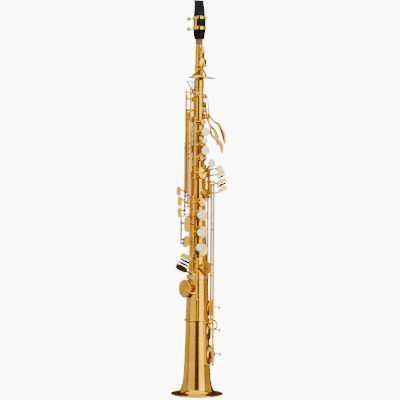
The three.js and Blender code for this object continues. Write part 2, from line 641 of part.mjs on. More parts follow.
addKey('g_sharp_key', HINGES.g_sharp, 375, 0,
  [hingeTube(HINGES.g_sharp, 350.4, 398), padCup('g_sharp'), cupArm('g_sharp', HINGES.g_sharp, 355),
    plate([37, -12.8, 397.4], 30, 14, 11, 2, 20),
    arm([[...HINGES.g_sharp, 396.4], [28, -2, 397], [37, -12.1, 397]])]);
addKey('low_c_sharp_key', HINGES.low_c_sharp, 260, 0,
  [hingeTube(HINGES.low_c_sharp, 134.2, 388.4), padCup('low_c_sharp'),
    cupArm('low_c_sharp', HINGES.low_c_sharp, 152),
    plate(tablePlane(0), TABLE_FACING, 16.4, 7.6, 2, TABLE_SLOPE),
    arm([[...HINGES.low_c_sharp, 386.6], [31, 9, 386.8], [40, -8, 388.4], tablePlane(-1.4, 0, -0.8)],
      ARM_R, 8),
    ...rollerLugs(tablePlane, SHORT_ROLLER, 0)]);
addKey('low_b_key', HINGES.low_b, 250, LOW_REST,
  [hingeTube(HINGES.low_b, 130.6, 370.8), padCup('low_b'),
    arm([[...HINGES.low_b, 133.2], [30.5, -12.5, 131], [33.6, -5, 121],
      place(HOLES.low_b.angle, edgeOf('low_b') + CUP_HEIGHT, 0, HOLES.low_b.z)]),
    plate(tablePlane(B_TOUCH_ACROSS), TABLE_FACING, 18, 7.8, 2, TABLE_SLOPE),
    arm([[...HINGES.low_b, 369], [27.5, -13.5, 370.4], [34, -15, 372], tablePlane(B_TOUCH_ACROSS, 0, -0.8)]),
    ...rollerLugs(tablePlane, LONG_ROLLER, B_TOUCH_ACROSS)]);
addKey('low_bb_key', HINGES.low_bb, 215, LOW_REST,
  [hingeTube(HINGES.low_bb, 58.2, 370.8), padCup('low_bb'), cupArm('low_bb', HINGES.low_bb, 70.5),
    plate(tablePlane(BB_TOUCH_ACROSS), TABLE_FACING, 18, 8.4, 2, TABLE_SLOPE),
    arm([[...HINGES.low_bb, 355], [33, -22.4, 355], tablePlane(BB_TOUCH_ACROSS, 0, -0.8)])]);
add('table_roller_short', roller(tablePlane, SHORT_ROLLER), ebonite());
add('table_roller_long',
  turnedAbout(roller(tablePlane, LONG_ROLLER), HINGES.low_b, LOW_REST), ebonite());

// ---- palm keys: levers on hinges that lie across the tube
const PALM = { distance: 18, half: 3.6, postAt: 6.4, bandFoot: 484.5, bandTop: 494 };
const PALM_HINGE_Z = { palm_d: 487, palm_eb: 487, palm_f: 492 };

function bandPiece(z0, z1, inner, outer, angle0, angle1) {
  const from = THREE.MathUtils.degToRad(angle0 - 90);
  const to = THREE.MathUtils.degToRad(angle1 - 90);
  const outline = new THREE.Shape();
  outline.absarc(0, 0, outer, from, to, false);
  outline.absarc(0, 0, inner, to, from, true);
  outline.closePath();
  const geometry = new THREE.ExtrudeGeometry(outline,
    { depth: z1 - z0, bevelEnabled: false, curveSegments: 8 });
  geometry.translate(0, 0, z0);
  return solid(geometry);
}

function palmSaddle() {
  const inner = tubeRadius(PALM.bandFoot) + GAP;
  const pieces = [bandPiece(PALM.bandFoot, PALM.bandTop, inner, inner + 1.6, 46, 145)];
  for (const [name, hingeZ] of Object.entries(PALM_HINGE_Z)) {
    const { angle } = HOLES[name];
    for (const side of [-PALM.postAt, PALM.postAt]) {
      const head = place(angle, PALM.distance, side, hingeZ);
      pieces.push(rod(place(angle, inner + 0.8, side * 0.3, hingeZ), head, POST_STEM_R));
      pieces.push(ball(head, 2.2));
    }
  }
  return join(pieces);
}
add('palm_key_saddle', palmSaddle(), lacquer());

// `lever` lists [distance from the tube's axis, height] from the hinge to the touch.
function palmKey(name, lever, touchR = 2.4) {
  const { angle, z } = HOLES[name];
  const top = edgeOf(name) + GAP + CUP_HEIGHT;
  const at = ([distance, height]) => place(angle, distance, 0, height);
  const hingeZ = PALM_HINGE_Z[name];
  const hinge = at([PALM.distance, hingeZ]);
  const axle = rod(place(angle, PALM.distance, -PALM.half, hingeZ),
    place(angle, PALM.distance, PALM.half, hingeZ), 1.8);
  const whole = [axle, padCup(name), arm([at([top - 0.4, z]), at([top + 1.2, z - 5]), hinge]),
    arm([hinge, ...lever.map(at)], 1.6, 8), arm(lever.slice(-3).map(at), touchR, 3)];
  add(`${name}_key`, join(whole), lacquer(), hinge);
}

palmKey('palm_d', [[23.4, 468], [24.2, 460], [30, 451.5], [39, 446], [45, 436], [46.6, 425]]);
palmKey('palm_f', [[27, 480.6], [35.6, 475.6], [40, 466.5], [44, 457], [46.2, 442.5]]);
palmKey('palm_eb', [[27, 474], [36, 466], [41.6, 454], [42.4, 441]]);

// ---- octave mechanism
const OCTAVE_ROD = [-3, 18.6];
const BODY_VENT = { angle: 158, z: 498, hingeZ: 478, distance: 16.8, half: 2.2, postAt: 5.4 };

const THUMB_REST_Z = 414;

function rearRib() {
  const { angle, hingeZ, distance, postAt } = BODY_VENT;
  const rest = turned([[0, 0], [8, 0], [8.4, 3], [6.5, 5.4], [0, 6], [0, 0]], 12);
  const foot = place(-178, tubeRadius(hingeZ) + 1.8, 0, hingeZ);
  const ventPosts = [-postAt, postAt].flatMap((side) => {
    const head = place(angle, distance, side, hingeZ);
    return [rod(foot, head, 0.8), ball(head, 1.6)];
  });
  return join([rib(-178, THUMB_REST_Z - 10, 538), post(-178, OCTAVE_ROD, 535.4),
    post(-178, OCTAVE_ROD, 452), ...ventPosts,
    facing(rest, 180, tubeRadius(THUMB_REST_Z) + 1.6, THUMB_REST_Z)]);
}
add('thumb_rest_rib', rearRib(), lacquer());

addKey('octave_thumb_key', OCTAVE_ROD, 460, 0,
  [hingeTube(OCTAVE_ROD, 455.2, 532.2),
    plate([3.6, 24.4, 445], 176, 14, 9, 2, 0),
    arm([[...OCTAVE_ROD, 459], [1.4, 22, 457], [3.6, 23.6, 447]]),
    arm([[...OCTAVE_ROD, 526], [-8.4, 18, 530], [-15, 12, 541], [-20.4, 2, 550.6]], ARM_R, 6)]);

function bodyOctaveKey() {
  const { angle, z, hingeZ, distance, half } = BODY_VENT;
  const vent = tubeRadius(z) + CHIMNEY_RISE + GAP;
  const at = ([out, height]) => place(angle, out, 0, height);
  return join([facing(turned([[0, 0], [2.8, 0], [2.8, 2], [0, 2.6], [0, 0]], 12), angle, vent, z),
    rod(place(angle, distance, -half, hingeZ), place(angle, distance, half, hingeZ), 1.4),
    arm([at([vent + 2, z]), at([vent + 3, z - 6]), at([distance, hingeZ]),
      at([distance + 1, hingeZ - 10])])]);
}
add('body_octave_key', bodyOctaveKey(), lacquer(),
  place(BODY_VENT.angle, BODY_VENT.distance, 0, BODY_VENT.hingeZ));

function neckOctaveKey() {
  const { y, z, x0, x1, r } = NECK_AXLE;
  const vent = tubeRadius(608) + 2.2 + GAP;
  return join([facing(turned([[0, 0], [3.4, 0], [3.4, 1.8], [0, 2.6], [0, 0]], 12), 35, vent, 608),
    rod([x0, y, z], [x1, y, z], r),
    plate([7, y - 1, 585], 10, 11, 14, 1.8, 0),
    arm([place(35, vent + 2, 0, 608), [7.6, y, 600], [7, y - 0.6, 586]]),
    arm([[5, y, z], [5, y - 1, 566], [5, y - 1.4, 557]], ARM_R, 3),
    arm([[-19, -3, 556.4], [-12, -12, 556.4], [5, -15, 556.4], [20, -11, 556.4], [29, -2, 556.4]], 1.5, 12)]);
}
add('neck_octave_key', neckOctaveKey(), lacquer(), [0, NECK_AXLE.y, NECK_AXLE.z]);

// ---- thumb hook, strap ring and key guard
function thumbHook() {
  const z = 262;
  const seat = tubeRadius(z - 9) + GAP;
  const plateShape = block([0, seat + 0.9, z], [11, 1.8, 18]);
  return join([plateShape,
    arm([[0, seat + 1, z + 4], [0, seat + 9, z + 6], [0, seat + 19, z + 2], [0, seat + 21, z - 9]], 3, 8)]);
}
add('thumb_hook', thumbHook(), lacquer());

const STRAP_RING = { z: 352, r: 6.6, wire: 1.3 };
function strapRing() {
  const { z, r, wire } = STRAP_RING;
  const seat = tubeRadius(z - 7) + GAP;
  const geometry = new THREE.TorusGeometry(r, wire, 8, 18);
  geometry.rotateY(Math.PI / 2);
  geometry.translate(0, seat + 1.4 + r, z);
  return join([block([0, seat + 0.8, z], [7, 1.6, 14]), solid(geometry)]);
}
add('strap_ring', strapRing(), lacquer());

// A bar behind the three bell cups, with an arm round each cup to a bumper knob over it.
const GUARD = { angle: 152, distance: 36, wire: 1.3, knobAngle: 98, knobR: 3.2 };
const GUARD_FEET = [89.6, 118];
const GUARD_KNOBS = [[152, 39.5], [112, 40.5], [69.5, 42]];

function bellGuard() {
  const { angle, distance, wire, knobAngle, knobR } = GUARD;
  const pieces = GUARD_FEET.flatMap((z) => {
    const inner = tubeRadius(z - 1.5) + GAP;
    return [bandPiece(z - 1.5, z + 1.5, inner, inner + 1.4, 138, 166),
      rod(place(angle, inner + 0.6, 0, z), place(angle, distance, 0, z), wire)];
  });
  const [top, , foot] = GUARD_KNOBS.map(([z]) => z);
  pieces.push(rod(place(angle, distance, 0, foot), place(angle, distance, 0, top), wire));
  for (const [z, reach] of GUARD_KNOBS) {
    pieces.push(arm([place(angle, distance, 0, z), place(138, reach + 0.6, 0, z),
      place(118, reach + 2.6, 0, z), place(knobAngle, reach - 0.6, 0, z)], wire, 6));
    pieces.push(rod(place(knobAngle, reach - 2.2, 0, z), place(knobAngle, reach + 1.6, 0, z), knobR, 10));
  }
  return join(pieces);
}
add('bell_key_guard', bellGuard(), lacquer());

export default saxophone;
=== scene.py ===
import math

import bpy
import numpy as np
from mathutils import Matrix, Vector


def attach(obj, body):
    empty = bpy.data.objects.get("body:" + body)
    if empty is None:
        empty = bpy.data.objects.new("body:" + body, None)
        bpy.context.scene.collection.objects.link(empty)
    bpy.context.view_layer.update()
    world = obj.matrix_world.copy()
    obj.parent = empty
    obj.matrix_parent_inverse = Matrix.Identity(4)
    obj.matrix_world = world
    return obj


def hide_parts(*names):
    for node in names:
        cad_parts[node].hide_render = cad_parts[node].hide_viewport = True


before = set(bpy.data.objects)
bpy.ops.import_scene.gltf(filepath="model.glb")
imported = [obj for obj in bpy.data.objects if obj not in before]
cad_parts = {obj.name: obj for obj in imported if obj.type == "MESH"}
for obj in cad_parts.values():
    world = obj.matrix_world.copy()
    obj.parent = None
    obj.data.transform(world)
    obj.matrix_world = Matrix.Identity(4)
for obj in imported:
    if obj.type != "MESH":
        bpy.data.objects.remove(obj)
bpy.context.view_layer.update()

# Lengths below are in millimetres in the row frame: +Z up the tube, -Y the front, +X the
# side of the low B and B flat cups. Angles round the tube: 0 faces -Y, +90 faces +X.
MM = 0.001

# ------------------------------------------------------------------ small mesh kit
# A shape is (points, faces): an N x 3 array and a list of index tuples.


def merged(*shapes):
    points, faces, count = [], [], 0
    for some_points, some_faces in shapes:
        points.append(some_points)
        faces += [tuple(i + count for i in face) for face in some_faces]
        count += len(some_points)
    return np.concatenate(points), faces


def volume(points, faces):
    total = 0.0
    for face in faces:
        a = points[face[0]]
        for i in range(1, len(face) - 1):
            total += float(np.dot(a, np.cross(points[face[i]], points[face[i + 1]])))
    return total / 6


def outwards(points, faces):
    """The same closed shape with its faces pointing out."""
    middle = points.mean(axis=0)
    if volume(points - middle, faces) < 0:
        faces = [tuple(reversed(face)) for face in faces]
    return points, faces


def eased(profile, radius, steps=3, closed=False):
    """The profile with each corner rounded off by a short curve."""
    result = []
    count = len(profile)
    for i, corner in enumerate(profile):
        corner = np.array(corner, float)
        if not closed and i in (0, count - 1):
            result.append(corner)
            continue
        before = np.array(profile[i - 1], float)
        after = np.array(profile[(i + 1) % count], float)
        reach = [min(0.45, radius / max(np.linalg.norm(end - corner), 1e-6)) for end in (before,
                                                                                         after)]
        start = corner + (before - corner) * reach[0]
        end = corner + (after - corner) * reach[1]
        for step in range(steps + 1):
            t = step / steps
            result.append((1 - t) ** 2 * start + 2 * t * (1 - t) * corner + t * t * end)
    return [tuple(point) for point in result]


def turned(profile, sides=48, closed=False, outline=None):
    """A profile of (radius, height) turned about Z. `outline` maps an angle to (x, y)."""
    outline = outline or (lambda a: (math.cos(a), math.sin(a)))
    ring = np.array([outline(2 * math.pi * i / sides) for i in range(sides)])
    points, rows = [], []
    for radius, height in profile:
        if radius < 1e-5:
            rows.append([len(points)])
            points.append((0, 0, height))
        else:
            rows.append(list(range(len(points), len(points) + sides)))
            points += [(x * radius, y * radius, height) for x, y in ring]
    faces = []
    pairs = list(zip(rows, rows[1:]))
    if closed:
        pairs.append((rows[-1], rows[0]))
    for low, high in pairs:
        for i in range(sides):
            j = (i + 1) % sides
            if len(low) == 1 and len(high) > 1:
                faces.append((low[0], high[j], high[i]))
            elif len(high) == 1 and len(low) > 1:
                faces.append((low[i], low[j], high[0]))
            elif len(low) > 1:
                faces.append((low[i], low[j], high[j], high[i]))
    return outwards(np.array(points, float), faces)


def curve_through(points, per_span=6):
    """A smooth Catmull-Rom path through the points."""
    points = [np.array(point, float) for point in points]
    if len(points) == 2:
        return np.array([points[0] + (points[1] - points[0]) * t for t in np.linspace(0, 1, 3)])
    padded = [2 * points[0] - points[1]] + points + [2 * points[-1] - points[-2]]
    path = []
    for i in range(1, len(padded) - 2):
        a, b, c, d = padded[i - 1:i + 3]
        for step in range(per_span):
            t = step / per_span
            path.append(0.5 * ((2 * b) + (c - a) * t + (2 * a - 5 * b + 4 * c - d) * t * t
                               + (3 * b - a - 3 * c + d) * t ** 3))
    path.append(points[-1])
    return np.array(path)


def unit(vector):
    return vector / max(np.linalg.norm(vector), 1e-9)


def swept(points, size, up=(0, 0, 1), sides=12, per_span=6, power=2.0):
    """A bar along a smooth path. `size` is a radius, a (width, height) pair of half sizes or
    one of these per point, width being across `up`. `power` above 2 squares the section."""
    path = curve_through(points, per_span)
    sizes = size if isinstance(size, list) else [size] * len(points)
    sizes = np.array([(s, s) if np.isscalar(s) else s for s in sizes], float)
    along = np.linspace(0, len(sizes) - 1, len(path))
    widths = np.interp(along, range(len(sizes)), sizes[:, 0])
    heights = np.interp(along, range(len(sizes)), sizes[:, 1])
    tangents = np.gradient(path, axis=0)
    rings = []
    angles = [2 * math.pi * i / sides for i in range(sides)]
    section = np.array([(math.copysign(abs(math.cos(a)) ** (2 / power), math.cos(a)),
                         math.copysign(abs(math.sin(a)) ** (2 / power),
                                       math.sin(a))) for a in angles])
    last = len(path) - 1
    stations = [(0, -math.sin(t), math.cos(t)) for t in (1.35, 0.8)]
    stations += [(i, 0, 1) for i in range(len(path))]
    stations += [(last, math.sin(t), math.cos(t)) for t in (0.8, 1.35)]
    for index, beyond, scale in stations:
        tangent = unit(tangents[index])
        high = np.array(up, float) - np.dot(up, tangent) * tangent
        if np.linalg.norm(high) < 0.05:
            high = np.cross(tangent, (1, 0.3, 0))
        high = unit(high)
        across = np.cross(tangent, high)
        cap = min(widths[index], heights[index])
        centre = path[index] + tangent * beyond * cap
        w = widths[index] - cap * (1 - scale)
        h = heights[index] - cap * (1 - scale)
        rings.append([centre + across * (x * w) + high * (y * h) for x, y in section])
    points = np.array(rings).reshape(-1, 3)
    faces = []
    for row in range(len(rings) - 1):
        for i in range(sides):
            j = (i + 1) % sides
            low, high = row * sides, (row + 1) * sides
            faces.append((low + i, low + j, high + j, high + i))
    faces.append(tuple(range(sides))[::-1])
    faces.append(tuple(range((len(rings) - 1) * sides, len(rings) * sides)))
    return outwards(points, faces)


def straight(a, b, radius, sides=16, ease=0.15):
    """A round bar with eased ends between two points."""
    a, b = np.array(a, float), np.array(b, float)
    length = float(np.linalg.norm(b - a))
    bar = turned(eased([(0, 0), (radius, 0), (radius, length), (0, length)], ease, 2), sides)
    return along_axis(bar, a, b - a)


def along_axis(shape, origin, axis):
    """Carries a shape drawn about +Z to stand at `origin` along `axis`."""
    rotation = Vector((0, 0, 1)).rotation_difference(Vector(axis)).to_matrix()
    return shape[0] @ np.array(rotation).T + np.array(origin, float), shape[1]


def ball(centre, radius, sides=20):
    arc = [(radius * math.sin(math.pi * i / 10),
            -radius * math.cos(math.pi * i / 10)) for i in range(11)]
    points, faces = turned(arc, sides)
    return points + np.array(centre, float), faces


def radians(degrees):
    return degrees * math.pi / 180


def outward(angle):
    return np.array([math.sin(radians(angle)), -math.cos(radians(angle)), 0])


def around(angle):
    return np.array([math.cos(radians(angle)), math.sin(radians(angle)), 0])


def place(angle, distance, sideways, z):
    return outward(angle) * distance + around(angle) * sideways + np.array([0, 0, z])


def facing(shape, angle, at, tilt=0):
    """Carries a shape drawn about +Z to `at`, with its axis pointing outward at `angle`."""
    c, s = math.cos(radians(tilt)), math.sin(radians(tilt))
    points = shape[0] @ np.array([[c, s, 0], [-s, c, 0], [0, 0, 1]])
    basis = np.array([around(angle), (0, 0, 1), outward(angle)])
    return points @ basis + np.array(at, float), shape[1]


def turned_about(shape, hinge, degrees):
    c, s = math.cos(radians(degrees)), math.sin(radians(degrees))
    points = shape[0] - np.array([hinge[0], hinge[1], 0])
    points = points @ np.array([[c, s, 0], [-s, c, 0], [0, 0, 1]])
    return points + np.array([hinge[0], hinge[1], 0]), shape[1]


# ------------------------------------------------------------------ pieces
SHARP_ANGLE = radians(38)


def piece(name, shape, material, body, replaces=()):
    """Makes a Blender object from a shape and hands it to a CAD body."""
    mesh = bpy.data.meshes.new(name)
    mesh.from_pydata((shape[0] * MM).tolist(), [], shape[1])
    mesh.validate()
    mesh.polygons.foreach_set("use_smooth", [True] * len(mesh.polygons))
    mesh.set_sharp_from_angle(angle=SHARP_ANGLE)
    mesh.update()
    mesh.materials.append(material)
    built = bpy.data.objects.new(name, mesh)
    bpy.context.scene.collection.objects.link(built)
    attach(built, body)
    if replaces:
        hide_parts(*replaces)
    return built


# ------------------------------------------------------------------ materials
class Nodes:
    """Short forms for building a material's nodes."""

    def __init__(self, name):
        self.material = bpy.data.materials.new(name)
        self.material.use_nodes = True
        self.tree = self.material.node_tree
        self.shader = next(n for n in self.tree.nodes if n.type == "BSDF_PRINCIPLED")
        self.place = self.add("ShaderNodeTexCoord").outputs["Object"]

    def add(self, kind, **values):
        node = self.tree.nodes.new(kind)
        for key, value in values.items():
            if key in node.inputs:
                node.inputs[key].default_value = value
            else:
                setattr(node, key, value)
        return node

    def link(self, a, b):
        self.tree.links.new(a, b)

    def stretched(self, scale):
        mapping = self.add("ShaderNodeMapping")
        self.link(self.place, mapping.inputs["Vector"])
        mapping.inputs["Scale"].default_value = scale
        return mapping.outputs["Vector"]

    def noise(self, scale, detail=4.0, vector=None, distortion=0.0):
        node = self.add("ShaderNodeTexNoise", Scale=scale, Detail=detail, Distortion=distortion)
        self.link(vector or self.place, node.inputs["Vector"])
        return node.outputs["Fac"]

    def ramp(self, value, *stops):
        node = self.add("ShaderNodeValToRGB")
        ramp = node.color_ramp
        while len(ramp.elements) < len(stops):
            ramp.elements.new(0.5)
        for element, (position, colour) in zip(ramp.elements, stops):
            element.position = position
            element.color = (*colour, 1) if len(colour) == 3 else colour
        self.link(value, node.inputs["Fac"])
        return node.outputs["Color"]

    def range(self, value, low, high):
        node = self.add("ShaderNodeMapRange")
        node.inputs["To Min"].default_value = low
        node.inputs["To Max"].default_value = high
        self.link(value, node.inputs["Value"])
        return node.outputs["Result"]

    def bump(self, height, strength, distance=0.0002):
        node = self.add("ShaderNodeBump", Strength=strength, Distance=distance)
        self.link(height, node.inputs["Height"])
        self.link(node.outputs["Normal"], self.shader.inputs["Normal"])
        return node

    def set(self, **values):
        for key, value in values.items():
            self.shader.inputs[key.replace("_", " ")].default_value = value

    def colour(self, output):
        self.link(output, self.shader.inputs["Base Color"])

    def roughness(self, output):
        self.link(output, self.shader.inputs["Roughness"])


def gold_lacquer(name, tones, rough=(0.1, 0.2), orange_peel=0.05):
    """Lacquered brass: slow tone changes, fine wipe marks in the gloss, a little orange peel."""
    n = Nodes(name)
    slow = n.noise(38, 3)
    fine = n.noise(900, 2, n.stretched((1, 1, 0.08)))
    n.colour(n.ramp(slow, (0.3, tones[0]), (0.52, tones[1]), (0.75, tones[2])))
    n.roughness(n.range(fine, *rough))
    n.bump(n.noise(420, 2), orange_peel, 0.0001)
    n.set(Metallic=1.0, Coat_Weight=0.12, Coat_Roughness=0.06)
    return n


GOLD = gold_lacquer("gold_lacquer", [(0.68, 0.34, 0.006), (0.8, 0.43, 0.01),
                                     (0.9, 0.51, 0.02)]).material
PALE_GOLD = gold_lacquer("pale_gold_lacquer", [(0.84, 0.53, 0.09), (0.9, 0.62, 0.13),
                                               (0.94, 0.68, 0.19)]).material
RICH_GOLD = gold_lacquer("gold_lacquer_keys", [(0.76, 0.4, 0.008), (0.87, 0.5, 0.014),
                                               (0.94, 0.58, 0.03)],
                         (0.08, 0.16)).material


def pearl_with_painted_glow_material():
    n = Nodes("mother_of_pearl_painted_glow")
    bands = n.noise(220, 3, n.stretched((1, 0.6, 1.4)), 1.6)
    n.colour(n.ramp(bands, (0.3, (0.8, 0.86, 0.92)), (0.42, (0.97, 0.97, 0.96)),
                    (0.5, (0.97, 0.92, 0.94)),
                    (0.6, (0.98, 0.98, 0.95)), (0.72, (0.84, 0.9, 0.93))))
    n.roughness(n.range(n.noise(600, 2), 0.12, 0.22))
    n.bump(bands, 0.06)
    n.set(Coat_Weight=0.9, Coat_Roughness=0.04, Specular_IOR_Level=0.6)
    # Painted light: a whitish emission glow brightens every pearl touch in place of the light
    # falling on it; the nacre itself gives no light.
    n.set(Emission_Color=(0.9, 0.95, 1, 1), Emission_Strength=0.55)
    return n.material


def ebonite_material():
    n = Nodes("black_hard_rubber")
    n.colour(n.ramp(n.noise(60, 3), (0.35, (0.003, 0.003, 0.0035)), (0.7, (0.008, 0.008, 0.009))))
    n.roughness(n.range(n.noise(500, 3, n.stretched((1, 1, 0.15))), 0.14, 0.24))
    n.bump(n.noise(900, 2), 0.03, 0.0001)
    n.set(Specular_IOR_Level=0.07)
    return n.material


def roller_material():
    n = Nodes("black_resin")
    n.colour(n.ramp(n.noise(150, 2), (0.3, (0.004, 0.004, 0.005)), (0.7, (0.01, 0.01, 0.011))))
    n.roughness(n.range(n.noise(700, 2), 0.3, 0.45))
    n.set(Specular_IOR_Level=0.1)
    return n.material


def cork_material():
    n = Nodes("reddish_cork")
    grains = n.noise(520, 5)
    n.colour(n.ramp(grains, (0.3, (0.12, 0.035, 0.02)), (0.5, (0.32, 0.11, 0.06)),
                    (0.7, (0.5, 0.22, 0.12))))
    n.roughness(n.range(grains, 0.65, 0.9))
    n.bump(grains, 0.5, 0.0003)
    return n.material


def cane_material():
    n = Nodes("dry_cane")
    fibres = n.noise(900, 3, n.stretched((1, 1, 0.03)))
    n.colour(n.ramp(fibres, (0.3, (0.5, 0.33, 0.14)), (0.6, (0.72, 0.53, 0.27)),
                    (0.8, (0.8, 0.64, 0.38))))
    n.roughness(n.range(fibres, 0.45, 0.65))
    n.bump(fibres, 0.25, 0.0001)
    return n.material


def leather_material():
    n = Nodes("pad_leather")
    grain = n.noise(1400, 4)
    n.colour(n.ramp(n.noise(90, 3), (0.3, (0.13, 0.055, 0.028)), (0.7, (0.27, 0.125, 0.065))))
    n.roughness(n.range(grain, 0.5, 0.75))
    n.bump(grain, 0.3, 0.0001)
    return n.material


def felt_material():
    n = Nodes("bumper_felt")
    wool = n.noise(2200, 4)
    n.colour(n.ramp(wool, (0.3, (0.05, 0.02, 0.018)), (0.7, (0.16, 0.06, 0.05))))
    n.roughness(n.range(wool, 0.85, 1.0))
    n.bump(wool, 0.6, 0.0002)
    n.set(Sheen_Weight=0.4)
    return n.material


def steel_material(name, tones, rough):
    n = Nodes(name)
    lines = n.noise(1300, 2, n.stretched((1, 1, 0.05)))
    n.colour(n.ramp(lines, (0.3, tones[0]), (0.7, tones[1])))
    n.roughness(n.range(lines, *rough))
    n.set(Metallic=1.0)
    return n.material


PEARL = pearl_with_painted_glow_material()
EBONITE = ebonite_material()
ROLLER = roller_material()
CORK = cork_material()
CANE = cane_material()
LEATHER = leather_material()
FELT = felt_material()
STEEL = steel_material("ground_steel", [(0.5, 0.5, 0.52), (0.66, 0.66, 0.67)], (0.18, 0.3))
BLUED_STEEL = steel_material("blued_steel", [(0.05, 0.07, 0.14), (0.12, 0.15, 0.25)], (0.25, 0.35))

# ------------------------------------------------------------------ driving lengths
GAP = 0.3
WALL = 0.8
TUBE_FOOT = (207, 16.6)
TUBE_TOP = (616, 6.5)
BELL = [(208, 18.2), (166, 20.1), (113, 21.1), (50, 23.4), (30, 24.6), (20, 26), (11, 28.6),
        (5, 33), (2, 40)]
HINGE_R = 2.0
CHIMNEY_RISE = 2.2
CUP_HEIGHT = 3.4

# angle, height on the tube, radius of the hole, radius of the pad cup
HOLES = {
    "palm_f": (95, 525, 3.0, 4.8), "palm_eb": (128, 511, 3.2, 5.0), "palm_d": (62, 500, 3.4, 5.4),
    "high_f_sharp": (-15, 527, 2.8, 4.6), "side_e": (-128, 519, 3.0, 4.8),
         "side_c": (-128, 484, 3.6, 5.6),
    "side_bb": (-135, 432, 4.4, 6.6), "c": (32, 478, 3.6, 5.6), "b": (32, 460.5, 4.6, 6.8),
    "bis": (32, 438.5, 4.4, 6.4), "a": (32, 416.6, 5.2, 7.4), "g": (34, 389.5, 8.0, 10.6),
    "g_sharp": (54, 354, 5.6, 7.6), "f_sharp": (18, 337.5, 5.6, 7.8), "f": (18, 315, 8.4, 10.8),
    "e": (18, 285.5, 9.0, 11.4), "d": (18, 254.7, 9.4, 11.8),
         "f_sharp_trill": (-122, 300, 4.8, 6.8),
    "eb": (50, 223, 9.0, 12.0), "low_c": (-62, 186.7, 13.0, 16.4),
         "low_c_sharp": (95, 152, 11.4, 14.4),
    "low_b": (95, 111.8, 14.4, 17.6), "low_bb": (95, 70.5, 15.6, 19.2),
}

HINGES = {
    "upper_stack": (-6.2, -16.4), "lower_stack": (-8.6, -19.6), "side_e": (-22.2, -2),
          "side_c": (-18.2, -8),
    "high_f_sharp": (-14, -12.4), "side_bb": (-23.5, 4.5), "f_sharp_trill": (-29.5, -4.5),
          "g_sharp": (19.6, 2),
    "low_c_sharp": (17.4, 18.6), "low_b": (23, -18.2), "low_bb": (27.3, -21.8),
          "little_finger": (-2, -24.8),
    "octave": (-3, 18.6),
}


def bell_radius(z):
    return float(np.interp(z, [p[0] for p in BELL][::-1], [p[1] for p in BELL][::-1]))


def tube_radius(z):
    if z <= TUBE_FOOT[0]:
        return bell_radius(z)
    return float(np.interp(z, (TUBE_FOOT[0], TUBE_TOP[0]), (TUBE_FOOT[1], TUBE_TOP[1])))


def edge_of(name):
    return tube_radius(HOLES[name][1]) + CHIMNEY_RISE


# ------------------------------------------------------------------ tube, bell, neck
def in_a_hole(point, spare=0.5):
    angle = math.degrees(math.atan2(point[0], -point[1]))
    for hole_angle, z, hole, _ in HOLES.values():
        off = (angle - hole_angle + 180) % 360 - 180
        if abs(off) > 80:
            continue
        sideways = math.hypot(point[0], point[1]) * math.sin(radians(off))
        if math.hypot(sideways, point[2] - z) < hole + spare:
            return True
    return False


def pierced_tube(profile, sides):
    """A closed profile turned about Z, opened where a tone hole goes through the wall."""
    points, faces = turned(profile, sides, closed=True)
    return points, [face for face in faces if not in_a_hole(points[list(face)].mean(axis=0))]


def finely(profile, step):
    """The profile with points added so that none of its steps is longer than `step`."""
    result = []
    for (r0, z0), (r1, z1) in zip(profile, profile[1:]):
        count = max(1, math.ceil(math.hypot(r1 - r0, z1 - z0) / step))
        result += [(r0 + (r1 - r0) * i / count, z0 + (z1 - z0) * i / count) for i in range(count)]
    return result + [profile[-1]]


def main_tube():
    top = 553
    outside = [(16.6, 207.5), (tube_radius(539), 539), (9.2, 539.2), (9.5, 539.6), (9.5, 541.4),
               (9.3, 541.8),
               (9.3, 550.4), (9.5, 550.8), (9.5, 552.5), (9.2, top)]
    inside = [(8.9, top), (8.7, 552.4), (8.7, 541), (tube_radius(541) - WALL, 541), (15.8, 207.5)]
    return pierced_tube(finely(outside + inside, 1.2), 96)


def smooth_profile(profile, per_span=6):
    path = curve_through([(r, 0, z) for r, z in profile], per_span)
    return [(float(p[0]), float(p[2])) for p in path]


def bell_section():
    outside = smooth_profile([(r, z) for z, r in BELL])
    bead = [(42.9, 1.9), (43.4, 2.9), (44.4, 3.2), (45.5, 2.9), (46.2, 2.2), (46.3, 1.4),
            (46.0, 0.7), (45.4, 0.2),
            (44.8, 0), (42.9, 0), (42.6, 0.3), (42.4, 0.8)]
    inside = smooth_profile([(max(r - (WALL if z > 15 else 0.5), 1), z - (0 if z > 15 else 0.6))
                             for z, r in BELL])[::-1]
    profile = finely(outside + [(41.2, 1.75)] + bead + [(41.3, 1.1)] + inside, 1.6)
    return pierced_tube(profile, 112)


def chimney(name):
    """A drawn tone hole: its foot follows the tube and its edge lies in one plane."""
    angle, z, hole, _ = HOLES[name]
    edge = edge_of(name)
    wall = hole + WALL
    rows = [(wall + 2.0, "tube", -0.15), (wall + 1.0, "tube", 0.15), (wall + 0.4, "tube", 0.55),
            (wall + 0.1, "tube", 1.1), (wall, "edge", -0.7), (wall + 0.15, "edge", -0.5),
            (wall + 0.2, "edge", -0.25),
            (wall + 0.05, "edge", -0.05), (wall - 0.15, "edge", 0), (hole + 0.25, "edge", 0),
            (hole, "edge", -0.2), (hole, "tube", -WALL)]
    sides = 56
    points = []
    for radius, reference, lift in rows:
        for i in range(sides):
            a = 2 * math.pi * i / sides
            x, up = radius * math.cos(a), radius * math.sin(a)
            surface = math.sqrt(max(tube_radius(z + up) ** 2 - x * x, 1))
            height = edge + lift if reference == "edge" else min(surface + lift, edge - 0.2)
            points.append((x, up, height))
    faces = []
    for row in range(len(rows)):
        for i in range(sides):
            j, low, high = (i + 1) % sides, row * sides, ((row + 1) % len(rows)) * sides
            faces.append((low + i, low + j, high + j, high + i))
    points, faces = outwards(np.array(points), faces)
    return facing((points, faces), angle, (0, 0, z))


